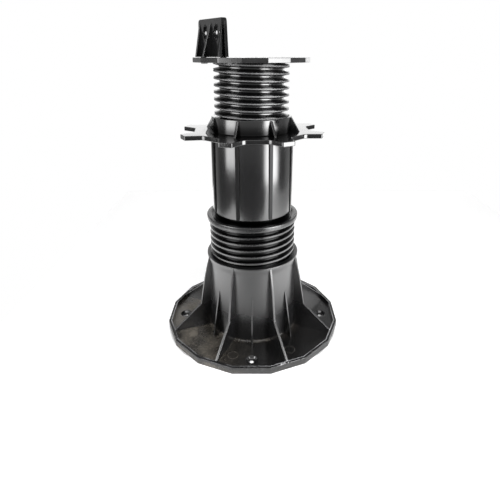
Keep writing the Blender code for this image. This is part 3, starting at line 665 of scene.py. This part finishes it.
# The crests are rubbed paler. The same mask is partly a painted light that makes the grooves look shaded.
rub_and_groove_shade = sleeve_finish.beyond(sleeve_finish.radius(), 34.2, 34.8) * (0.5 + cloud)
painted_groove_shade = sleeve_finish.within(sleeve_finish.radius(), 32.8, 34.3)
sleeve_finish.set("Base Color", sleeve_finish.mix(rub_and_groove_shade * 0.5, shade(DEEP), shade(CHARCOAL, 1.6)))
# Painted shade: a high Metallic blackens the grooves.
sleeve_finish.set("Metallic", painted_groove_shade * 0.8)
sleeve_finish.set("Roughness", 0.15 + rub_and_groove_shade * 0.10 + fine * 0.05)
sleeve_finish.bump(fine * 0.3 + cloud * 1.2, 0.00003)
print("sleeve finish:", len(sleeve_finish.tree.nodes), "nodes")

# %% [markdown]
# ## The glossy pieces' finish
# The star ring came out of a polished mould. Its gloss shows every small unevenness, so a broad, low
# wave goes into the bump, and fine fingerprints and hairlines vary the roughness a little. Painted
# shade darkens the foot of its hub. The head is a shade less glossy. Its screw has a painted highlight
# on the crests, a painted reflection under them, and painted shade above them. A mask for that has to
# follow the helix: the height counted in pitches, plus the share of a turn, says how far a point lies
# above its crest. The tab is made darker along its right side.

# %% Glossy ring plastic
ring_finish = Finish("glossy_ring_plastic", DEEP, 0.14)
wave = ring_finish.noise(70, 1)
smudge = ring_finish.step(ring_finish.noise(45, 4), 0.45, 0.75)
hair = ring_finish.step(ring_finish.noise(300, 2, (8.0, 1.0, 1.0)), 0.62, 0.70)
above_plate = ring_finish.beyond(ring_finish.z, RING + 1.1, RING + 2.1)
painted_hub_shade = ring_finish.within(ring_finish.z, RING + 4.1, RING + 11.6) * above_plate
painted_hub_shade = painted_hub_shade * ring_finish.within(ring_finish.radius(), 34.0, 40.0)
ring_finish.set("Base Color", ring_finish.mix(smudge, shade(DEEP, 0.8), shade(DEEP, 1.2)))
# Painted shade: a high Metallic blackens the foot of the hub, just above the plate.
ring_finish.set("Metallic", painted_hub_shade * 0.8)
ring_finish.set("Roughness", 0.15 + smudge * 0.08 + hair * 0.08)
ring_finish.bump(wave * 1.0 + hair * 0.1, 0.00006)
print("ring finish:", len(ring_finish.tree.nodes), "nodes")

# %% Where the head's screw gets painted highlights, reflection and shade
head_finish = Finish("head_plastic", DEEP, 0.20)
turned_by = head_finish.x.math("ARCTAN2", 0 - head_finish.y) / (2 * math.pi)
over_crest = (head_finish.z - UPPER_CREST * MM) / (UPPER_PITCH * MM) + turned_by
over_crest = over_crest.math("WRAP", 0.5, -0.5)
on_stem = head_finish.within(head_finish.z, HEAD - 0.7, HEAD - 0.1)
at_crest = on_stem * head_finish.beyond(head_finish.radius(), 26.2, 27.0)
painted_flank_shade = head_finish.band(over_crest, -0.03, 0.04, 0.36, 0.42) * on_stem
painted_flank_reflection = head_finish.band(over_crest, -0.46, -0.30, -0.06, 0.0) * on_stem
painted_crest_highlight = head_finish.band(over_crest, -0.20, -0.12, -0.03, 0.01) * at_crest
tab_turn = math.radians(TAB_AZIMUTH)
tab_across = head_finish.x * math.cos(tab_turn) + head_finish.y * math.sin(tab_turn)
above_disc = head_finish.beyond(head_finish.z, HEAD + DISC + 0.2, HEAD + DISC + 0.6)
tab_side = head_finish.beyond(tab_across, 12.6, 13.2) * above_disc
print("head finish starts with", len(head_finish.tree.nodes), "nodes")

# %% Head plastic
wave = head_finish.noise(60, 2)
fine = head_finish.noise(900, 2)
smudge = head_finish.step(head_finish.noise(55, 4), 0.42, 0.72)
plastic = head_finish.mix(smudge, shade(DEEP, 0.9), shade(CHARCOAL, 0.9))
# Painted highlight on the crests and painted reflection on the lower flanks, both in pale grey.
painted_thread_light = painted_crest_highlight * 0.16 + painted_flank_reflection * 0.07
head_finish.set("Base Color", head_finish.mix(painted_thread_light, plastic, shade(PALE_GREY)))
# Painted shade: a high Metallic blackens the upper flanks. It also makes the tab darker along its right
# side.
head_finish.set("Metallic", painted_flank_shade * 0.85 + tab_side * 0.8)
head_finish.set("Roughness", 0.16 + smudge * 0.12 + fine * 0.05 + painted_crest_highlight * 0.35)
head_finish.bump(wave * 1.0 + fine * 0.12, 0.00005)
print("finishes:", [m.name for m in bpy.data.materials if m.node_tree and len(m.node_tree.nodes) > 5])


# %% [markdown]
# ## Putting a piece in the scene
# A finished piece is one mesh in one object that sits at the origin. It rides on a body of the packed
# model and stands for that body's plain node.

# %% Placing pieces
def put(name, mesh, finish, body, slot, *nodes):
    """Adds a piece with its finish, lets it ride on a body and stand for that body's nodes."""
    mesh.materials.clear()
    mesh.materials.append(finish.material)
    obj = placed(name, mesh)
    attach(obj, body)
    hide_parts(*nodes)
    print(name, len(mesh.polygons), "faces")


# %% [markdown]
# ## Base
# The base is one moulding: a sixteen-sided plate with a raised rim, a socket tube and sixteen ribs.
# The plate is spun with sixteen steps, so its sides stay flat, and its screw holes are cut before
# its edges are rounded. The ribs are two outlines, each made solid once and set round by the ring
# tree. They could be united with the socket by Booleans, but the slivers of such a union spoil the
# rounding of edges, so they simply run into the socket's wall, as moulded ribs do.

# %% Sizes of the base
FLAT_TURN = 180 / SIDES
RIBS = 8
SOCKET_TOP = 66.8
SOCKET_BORE = 35.3
SOCKET_MOUTH = 37.1
SOCKET_LIP = 37.8
SOCKET_FOOT = 37.9
SCREW_BORE = 1.5
print("the base is", round(2 * CORNER * math.cos(math.pi / SIDES), 1), "mm across its sides")

# %% Plate with its countersunk holes
plate_outline = mm(
    (SOCKET_BORE, 0),
    (CORNER, 0),
    (CORNER, RIM),
    (CORNER - RIM_WALL, RIM),
    (CORNER - RIM_WALL, FLOOR),
    (SOCKET_BORE, FLOOR),
)
base_plate = turned("base_plate", plate_outline, SIDES, FLAT_TURN)
hole_outline = mm(
    (0, FLOOR + 0.8),
    (SINK_RADIUS + 0.75, FLOOR + 0.8),
    (SINK_RADIUS, FLOOR),
    (3.15, 1.0),
    (2.4, 0.7),
    (SCREW_BORE, 0.6),
    (SCREW_BORE, -1),
    (0, -1),
)
hole = turned("screw_hole", hole_outline, 40)
holes = []
for azimuth in (0, 90, 180, 270):
    tool = hole.copy()
    tool.transform(Matrix.Translation(spot(azimuth, SCREW_CIRCLE * MM)))
    holes.append(tool)
base_plate = soften(cut(base_plate, *holes), 0.6, 3, 18)
print("plate:", len(base_plate.polygons), "faces")

# %% Socket tube
socket_points = mm(
    (SOCKET_BORE, SOCKET_TOP),
    (SOCKET_LIP, SOCKET_TOP),
    (SOCKET_LIP, SOCKET_TOP - 2.0),
    (SOCKET_MOUTH + 0.08, SOCKET_TOP - 6.0),
    (SOCKET_FOOT, FLOOR),
    (SOCKET_FOOT + 3.0, FLOOR - 0.1),
    (SOCKET_FOOT + 3.0, 0.3),
    (SOCKET_BORE, 0.3),
)
socket_outline = rounded(socket_points, [0.3, 0.45, 1.0, 2.0, 1.6, 0, 0, 0], 5)
socket = smooth(turned("socket", socket_outline, 180))
socket_thread = thread(
    "socket_thread",
    root=SOCKET_BORE,
    depth=-2.6,
    pitch=LOWER_PITCH,
    hand=RIGHT_HAND,
    crest=LOWER_CREST + LOWER_PITCH / 2,
    low=SOCKET_TOP - 19.2,
    high=SOCKET_TOP - 0.2,
    shares=(0.24, 0.72),
)


# %% Ribs of the base
def rib(name, outline, thickness, edge=0.3):
    """One rib at azimuth 0, its outline drawn as (outwards, up)."""
    mesh = plate(name, outline, -thickness / 2, thickness / 2)
    mesh.transform(standing(0))
    return soften(mesh, edge, 2)


rim_face = CORNER * math.cos(math.pi / SIDES) - RIM_WALL
in_wall = SOCKET_BORE + 0.9
tall_outline = mm(
    (in_wall, 66.0),
    (SOCKET_LIP + 0.2, 66.0),
    (SOCKET_MOUTH + 3.0, 58.3),
    (SOCKET_MOUTH + 5.3, 48.8),
    (SOCKET_MOUTH + 9.4, 24.6),
    (rim_face + 0.6, RIM - 0.4),
    (rim_face + 0.6, 1.2),
    (in_wall, 1.2),
)
short_outline = mm(
    (in_wall, 41.5),
    (SOCKET_FOOT - 0.2, 41.5),
    (SOCKET_FOOT + 7.3, 2.7),
    (SOCKET_FOOT + 7.3, 1.2),
    (in_wall, 1.2),
)
tall_ribs = around("tall_ribs", rib("tall_rib", tall_outline, 1.8), RIBS, 180 / RIBS)
short_ribs = around("short_ribs", rib("short_rib", short_outline, 1.4), RIBS, 0.0)
base_mesh = joined("base_moulding", [base_plate, socket, socket_thread, tall_ribs, short_ribs])
put("base_moulding", base_mesh, base_finish, "base", "base_plastic", "base")

# %% [markdown]
# ## Threaded sleeve
# The sleeve is a collar over a long screw. Its thread is right-handed, like most, so it sinks into
# the base when it is turned clockwise. The thread's skin is also the sleeve's outer wall, so only
# the collar and the bore are turned from outlines.

# %% Sleeve
SLEEVE_END = SLEEVE - 46.9
SLEEVE_BORE = 28.8
SKIRT_BORE = 29.8
LOWER_ROOT = 32.0
collar_points = mm(
    (33.0, SLEEVE + 3.7),
    (36.8, SLEEVE + 3.7),
    (36.8, SLEEVE),
    (31.0, SLEEVE),
    (SLEEVE_BORE, SLEEVE),
    (SLEEVE_BORE, SLEEVE + 2.5),
    (33.0, SLEEVE + 2.5),
)
collar_outline = rounded(collar_points, [0.5, 0.7, 0.5, 0, 0, 0.2, 0.2], 4)
collar = smooth(turned("collar", collar_outline, 180))
bore_outline = mm(
    (LOWER_ROOT - 0.1, SLEEVE + 0.5),
    (LOWER_ROOT - 0.1, SLEEVE_END),
    (SKIRT_BORE, SLEEVE_END),
    (SKIRT_BORE, SLEEVE - 7.5),
    (SLEEVE_BORE, SLEEVE - 7.5),
    (SLEEVE_BORE, SLEEVE + 0.5),
)
sleeve_bore = smooth(turned("sleeve_bore", bore_outline, 120))
sleeve_thread = thread(
    "sleeve_thread",
    root=LOWER_ROOT,
    depth=2.8,
    pitch=LOWER_PITCH,
    hand=RIGHT_HAND,
    crest=LOWER_CREST,
    low=SLEEVE_END,
    high=SLEEVE + 0.2,
    shares=(0.24, 0.54),
)
sleeve_mesh = joined("sleeve_moulding", [collar, sleeve_bore, sleeve_thread])
put("sleeve_moulding", sleeve_mesh, sleeve_finish, "threaded_sleeve", "sleeve_plastic", "threaded_sleeve")

# %% [markdown]
# ## Tube
# The tube tapers very slightly so that it leaves its mould. Eight low flat ribs run down it, each
# with a rounded lower end, and a narrower neck below lets it swivel in the sleeve. A cylinder with a
# Solidify step would give one even wall, but the neck, its bead and the ring's seat are all of
# different thickness, so the whole section is drawn and turned.

# %% Wall of the tube
TUBE_RADIUS = 31.7
TUBE_TAPER = 0.3
TUBE_HEIGHT = 60.2
TUBE_TOP = TUBE + TUBE_HEIGHT
TUBE_BORE = 28.95
NECK_BORE = 26.3
tube_points = mm(
    (TUBE_RADIUS - TUBE_TAPER, TUBE_TOP),
    (TUBE_RADIUS, TUBE),
    (30.4, TUBE),
    (30.4, TUBE - 4.3),
    (28.5, TUBE - 4.3),
    (28.5, TUBE - 14.9),
    (29.35, TUBE - 14.9),
    (28.1, TUBE - 16.6),
    (NECK_BORE, TUBE - 16.6),
    (NECK_BORE, TUBE - 4.3),
    (TUBE_BORE, TUBE + 0.4),
    (TUBE_BORE, TUBE_TOP - 6.3),
    (30.05, TUBE_TOP - 6.3),
    (30.05, TUBE_TOP),
)
tube_outline = rounded(tube_points, [0.2, 0.5] + [0.1] * 12, 3)
tube_wall = smooth(turned("tube_wall", tube_outline, 192))
print("tube wall:", len(tube_wall.polygons), "faces")

# %% Ribs of the tube
TUBE_TURN = 26.5
RIB_HALF = 1.4
arc = [math.pi + math.pi * i / 10 for i in range(11)]
rib_foot = [(RIB_HALF * math.cos(a), RIB_HALF + RIB_HALF * math.sin(a)) for a in arc]
rib_outline = mm(*rib_foot, (RIB_HALF, TUBE_HEIGHT - 0.1), (-RIB_HALF, TUBE_HEIGHT - 0.1))
tube_rib = plate("tube_rib", rib_outline, -0.9, 0.6)
lean = Matrix.Rotation(math.atan(TUBE_TAPER / TUBE_HEIGHT), 4, "X")
foot = Matrix.Translation(spot(0, TUBE_RADIUS * MM, TUBE * MM))
tube_rib.transform(foot @ facing(0) @ lean)
tube_ribs = around("tube_ribs", soften(tube_rib, 0.25, 3), RIBS, TUBE_TURN)
tube_mesh = joined("tube_moulding", [tube_wall, tube_ribs])
put("tube_moulding", tube_mesh, tube_finish, "tube", "tube_plastic", "tube")

# %% [markdown]
# ## Star ring
# The ring is turned by hand, and its lobes give the fingers a hold. A lobe ends in a flat. The notch
# between two lobes has straight flanks, a flat bottom and filleted corners, which eight discs set
# round a plate wouldn't give. So the whole outline is worked out from the lobes' reach, their tips'
# width and the notch's bottom, and then made solid.

# %% The star's outline
LOBES = 8
RING_PLATE = 3.3
RING_TURN = 5.0
LOBE_REACH = 55.3
LOBE_TIP = 9.6
NOTCH_RADIUS = 43.3
NOTCH_WIDTH = 17.2


def star():
    """Four corners for each notch: the tip before it, its two bottom corners and the next tip."""
    tip = Vector((LOBE_REACH, LOBE_TIP / 2))
    spread = math.pi / LOBES - math.atan2(tip.y, tip.x)
    mouth = (tip.length * math.cos(spread), tip.length * math.sin(spread))
    corner = (NOTCH_RADIUS, NOTCH_WIDTH / 2)
    notch = [(mouth[0], -mouth[1]), (corner[0], -corner[1]), corner, mouth]
    outline = []
    for lobe in range(LOBES):
        middle = 360 / LOBES * (lobe + 1) + RING_TURN
        for x, y in notch:
            outline.append(spot(middle + math.degrees(math.atan2(y, x)), math.hypot(x, y) * MM).to_2d())
    return rounded(outline, [0.9, 3.0, 3.0, 0.9] * LOBES, 7)


star_plate = soften(plate("star_plate", star(), RING, RING + RING_PLATE), 0.5, 3, 30)
print("star outline:", len(star()), "points")

# %% Hub, gussets and skirt
HUB_TOP = RING + 14.1
HUB_BORE = 28.55
hub_points = mm(
    (HUB_BORE, HUB_TOP),
    (30.45, HUB_TOP),
    (30.75, RING + 7.5),
    (31.0, RING + 3.7),
    (33.7, RING + 3.25),
    (33.7, RING + 1.0),
    (29.75, RING + 1.0),
    (29.75, RING - 6.0),
    (HUB_BORE, RING - 6.0),
)
hub_outline = rounded(hub_points, [0.2, 0.5, 1.0, 0.3, 0, 0, 0, 0.2, 0.2], 4)
hub = smooth(turned("hub", hub_outline, 180), 40)
gusset_outline = mm(
    (29.5, HUB_TOP - 0.5),
    (31.3, HUB_TOP - 0.5),
    (37.6, RING + 3.2),
    (37.6, RING + 1.6),
    (29.5, RING + 1.6),
)
gussets = around("gussets", rib("gusset", gusset_outline, 1.8), LOBES, 180 / LOBES + RING_TURN)
ring_thread = thread(
    "ring_thread",
    root=HUB_BORE,
    depth=-3.4,
    pitch=UPPER_PITCH,
    hand=LEFT_HAND,
    crest=UPPER_CREST + UPPER_PITCH / 2,
    low=HUB_TOP - 15.2,
    high=HUB_TOP - 0.2,
    shares=(0.20, 0.66),
)
ring_mesh = joined("star_ring_moulding", [star_plate, hub, gussets, ring_thread])
put("star_ring_moulding", ring_mesh, ring_finish, "star_ring", "ring_plastic", "star_ring")

# %% [markdown]
# ## Head
# The head is a sixteen-sided disc on a hollow screw. This thread is left-handed, so that the two
# screws work against each other, as on a turnbuckle. The thread tree takes the hand as one of its
# inputs, so it makes this screw as it made the other three threads.

# %% Disc with its slots for the tab
HEAD_TURN = 4.5
DISC_CORNER = 42.7
TAB_FACE = 33.8
TAB_WALL = 2.4
LEG_OFFSET = 12.5
SLOT_HALF = 2.3
disc_outline = mm((0, HEAD), (DISC_CORNER, HEAD), (DISC_CORNER, HEAD + DISC), (0, HEAD + DISC))
disc = turned("disc", disc_outline, SIDES, FLAT_TURN + HEAD_TURN)
slot_place = Matrix.Translation(spot(TAB_AZIMUTH, (TAB_FACE - TAB_WALL / 2) * MM, (HEAD - 3) * MM))
slots = []
for side in (-1, 1):
    left = side * LEG_OFFSET - SLOT_HALF
    right = side * LEG_OFFSET + SLOT_HALF
    slot = plate("tab_slot", mm((left, 0), (right, 0), (right, 9), (left, 9)), -1.5, 1.5)
    slot.transform(slot_place @ facing(TAB_AZIMUTH))
    slots.append(slot)
disc = soften(cut(disc, *slots), 0.35, 3, 18)
print("disc:", len(disc.polygons), "faces")

# %% Stem
STEM_ROOT = 24.0
STEM_BORE = 20.5
STEM_END = HEAD - 62.0
stem_outline = mm(
    (STEM_ROOT - 0.1, HEAD + 0.5),
    (STEM_ROOT - 0.1, STEM_END),
    (STEM_BORE, STEM_END),
    (STEM_BORE, HEAD + 0.5),
)
stem = smooth(turned("stem", stem_outline, 120))
stem_thread = thread(
    "stem_thread",
    root=STEM_ROOT,
    depth=4.05,
    pitch=UPPER_PITCH,
    hand=LEFT_HAND,
    crest=UPPER_CREST,
    low=STEM_END,
    high=HEAD + 0.4,
    shares=(0.32, 0.82),
)
head_mesh = joined("head_moulding", [disc, stem, stem_thread])
put("head_moulding", head_mesh, head_finish, "head", "head_plastic", "head")

# %% [markdown]
# ## Joist tab
# The joist is screwed to this upright tab. Three gussets brace it on the side away from the joist,
# and each of the two fixing points is an oval dimple with two pilot holes. Two barbed legs clip it
# into the disc. It stands askew to the axes, so it is drawn as if it faced the front, where every
# size is a plain length, and the finished mesh is turned about the screw axis to its place.

# %% Tab
TAB = HEAD + DISC + 0.3
TAB_HEIGHT = 24.2
FIXING_OFFSET = 6.9
FIXING_HEIGHT = 15.5
PILOT_OFFSET = 2.5


def oval(middle, half_width, half_height):
    """An oval outline around a point at the height of the fixing points."""
    outline = []
    for i in range(32):
        angle = 2 * math.pi * i / 32
        sideways = middle + half_width * math.cos(angle)
        upwards = FIXING_HEIGHT + half_height * math.sin(angle)
        outline.append((sideways, upwards))
    return mm(*outline)


tab_corners = mm((-17, 0), (17, 0), (15.7, TAB_HEIGHT), (-15.7, TAB_HEIGHT))
tab_face = plate("tab_face", rounded(tab_corners, [0, 0, 2.4, 2.4], 6), TAB_FACE - TAB_WALL, TAB_FACE)
tools = []
for side in (-1, 1):
    fixing = side * FIXING_OFFSET
    tools.append(plate("dimple", oval(fixing, 3.2, 5.3), TAB_FACE - 1.4, TAB_FACE + 1))
    for pilot in (-PILOT_OFFSET, PILOT_OFFSET):
        tools.append(plate("pilot", oval(fixing + pilot, 1.5, 1.5), TAB_FACE - 4, TAB_FACE + 1))
tab_face = soften(cut(tab_face, *tools), 0.3, 2, 30)
tab_face.transform(facing(0))
print("tab face:", len(tab_face.polygons), "faces")

# %% Gussets and legs of the tab
GUSSET_OFFSET = 13.8
TAB_BACK = TAB_FACE - TAB_WALL
leg_outline = mm(
    (TAB_FACE, 1.2),
    (TAB_FACE, -4.5),
    (TAB_BACK, -4.5),
    (TAB_BACK - 1.0, -4.2),
    (TAB_BACK - 1.0, -3.9),
    (TAB_BACK, -3.9),
    (TAB_BACK, 1.2),
)
tab_parts = [tab_face]
for offset in (-GUSSET_OFFSET, 0.0, GUSSET_OFFSET):
    disc_edge = DISC_CORNER - abs(offset) * math.tan(math.pi / SIDES) - 1.6
    outline = mm((TAB_FACE - 1.2, 22.0), (TAB_FACE + 0.2, 22.0), (disc_edge, 0.0), (TAB_FACE - 1.2, 0.0))
    gusset = rib("tab_gusset", outline, 1.6, 0.25)
    gusset.transform(Matrix.Translation((offset * MM, 0, 0)))
    tab_parts.append(gusset)
for side in (-1, 1):
    leg = rib("tab_leg", leg_outline, 4.0, 0.15)
    leg.transform(Matrix.Translation((side * LEG_OFFSET * MM, 0, 0)))
    tab_parts.append(leg)
tab_mesh = joined("joist_tab_moulding", tab_parts)
askew = Matrix.Rotation(math.radians(TAB_AZIMUTH), 4, "Z")
tab_mesh.transform(Matrix.Translation((0, 0, TAB * MM)) @ askew)
put("joist_tab_moulding", tab_mesh, head_finish, "head", "head_plastic", "joist_tab")

# %% [markdown]
# ## Floor, lights and camera
# Black plastic shows little but what it reflects, so the set is the drawing. The pedestal stands on a
# white sheet that ends just in front of it, with a lit wall behind and a dark room around the camera.
# The sheet gives the base its grey, the wall whitens the tops of the lobes, and a soft panel on
# either side draws the upright streaks on the tube. A small panel behind the right of the base is
# for the rim, and a light overhead for the dust. A plain white room would be mirrored all over, so
# the Light Path node tells the sheet and the room which ray meets them: the camera sees white, and
# the plastic mirrors a shaped light.

# %% Floor
BLACK = (0, 0, 0, 1)
WHITE = (1, 1, 1, 1)
sheet = [(-0.22, -0.18), (0.12, -0.18), (0.26, -0.32), (0.36, -0.32), (0.36, 0.36), (-0.22, 0.36)]
floor_mesh = plate("floor", sheet, -10, -0.2)
floor = placed("floor", floor_mesh)
floor_finish = Finish("white_floor", (0.85, 0.85, 0.85), 0.9)
floor_finish.set("Specular IOR Level", 0.0)
seen = floor_finish.add("ShaderNodeLightPath", output="Is Camera Ray")
mirrored = floor_finish.add("ShaderNodeLightPath", output="Is Glossy Ray")
from_axis = floor_finish.radius()
off_base = floor_finish.beyond(from_axis, 72.5, 73.5) + floor_finish.beyond(0 - floor_finish.y, 50, 54)
glow = floor_finish.mix(seen * off_base.math("MINIMUM", 1.0), BLACK, (0.275, 0.275, 0.275, 1))
beside = floor_finish.band(floor_finish.x.math("ABSOLUTE"), 0.02, 0.12, 0.17, 0.26)
# Seen in the plastic, the sheet glows only some way out from the base. The dark ring nearer is a painted
# shadow of the base.
clear = floor_finish.beyond(from_axis, 83, 118)
far = floor_finish.beyond(from_axis, 110, 150)
flare = floor_finish.mix(clear * (0.19 - far * 0.07 + beside * 0.71), BLACK, WHITE)
floor_finish.set("Emission Color", floor_finish.mix(mirrored, glow, flare))
floor_finish.set("Emission Strength", 2.0)
floor_mesh.materials.append(floor_finish.material)
print("floor finish:", len(floor_finish.tree.nodes), "nodes")

# %% World
world = bpy.data.worlds.new("studio")
bpy.context.scene.world = world
world.use_nodes = True
room = Nodes(world.node_tree)
_, depth, height = room.apart(room.add("ShaderNodeTexCoord", output="Generated"))
wall_behind = room.ramp(height, 0.45, 0.62, 0.5, 0.11)
room_ahead = room.ramp(height, -0.20, 0.05, 0.15, 0.42)
all_round = room.ramp(depth, 0.2, 0.4, room_ahead, wall_behind)
mirrored = room.add("ShaderNodeLightPath", output="Is Glossy Ray")
seen = room.add("ShaderNodeLightPath", output="Is Camera Ray")
shown = room.ramp(mirrored, 0.0, 1.0, 0.2, all_round)
backdrop = world.node_tree.nodes["Background"]
room.feed(backdrop.inputs["Color"], WHITE)
room.feed(backdrop.inputs["Strength"], room.ramp(seen, 0.0, 1.0, shown, 1.0))
print("room:", len(room.tree.nodes), "nodes")


# %% Panels of light
def panel(name, azimuth, distance, foot, size, radiance, taper=0.0):
    """An upright panel that faces the axis and fades to its sides and its top.

    A taper makes its anticlockwise half narrower between 0.12 and 0.18 m up, and leaves it so above.
    """
    half = size[0] / 2
    mesh = bpy.data.meshes.new(name)
    corners = [(-half, 0, 0), (half, 0, 0), (half, 0, size[1]), (-half, 0, size[1])]
    mesh.from_pydata(corners, [], [(0, 1, 2, 3)])
    obj = placed(name, mesh)
    obj.location = spot(azimuth, distance, foot)
    obj.rotation_euler = (0, 0, math.radians(azimuth))
    obj.visible_camera = False
    finish = Finish(name + "_light", (0, 0, 0), 1.0)
    finish.set("Specular IOR Level", 0.0)
    tapering = finish.step(finish.z, 0.12, 0.18) * finish.x.math("MAXIMUM", 0.0) * (taper / half)
    aside = finish.x.math("ABSOLUTE") / half + tapering
    inside = (1 - finish.step(aside, 0.5, 1.0)) * (1 - finish.step(finish.z / size[1], 0.75, 1.0))
    finish.set("Emission Color", finish.mix(inside, BLACK, WHITE))
    finish.set("Emission Strength", radiance)
    mesh.materials.append(finish.material)
    print(name, "has a radiance of", radiance)


panel("right_panel", azimuth=55, distance=0.45, foot=0.0, size=(0.42, 0.55), radiance=9.6, taper=1.8)
panel("left_panel", azimuth=-57, distance=0.45, foot=0.055, size=(0.33, 0.50), radiance=5.6)
panel("wall_panel", azimuth=180, distance=1.0, foot=0.13, size=(1.5, 0.40), radiance=2.0)
panel("rim_panel", azimuth=146, distance=0.7, foot=0.0, size=(0.20, 0.30), radiance=2.6)

# %% Light overhead
top_light = bpy.data.lights.new("top_light", "AREA")
top_light.shape = "RECTANGLE"
top_light.size = 0.60
top_light.size_y = 0.28
top_light.energy = 1.7 * math.pi * top_light.size * top_light.size_y
top_panel = placed("top_light", top_light)
top_panel.location = (0, -0.27, 0.62)
top_panel.rotation_euler = (math.radians(-25), 0, 0)
top_panel.visible_camera = False
print("top light:", round(top_light.energy, 3), "W")

# %% Camera
camera_data = bpy.data.cameras.new("camera")
camera = placed("camera", camera_data)
camera.location = (0.00615, -0.31797, 0.22167)
camera.rotation_euler = (math.radians(71.34), 0, 0)
camera_data.sensor_width = 36
camera_data.lens = 29.86
camera_data.shift_x = -0.0196
camera_data.shift_y = -0.11
bpy.context.scene.camera = camera
bpy.context.scene.view_settings.view_transform = "Standard"
print("camera stands", round(-camera.location.y, 3), "m in front of the axis")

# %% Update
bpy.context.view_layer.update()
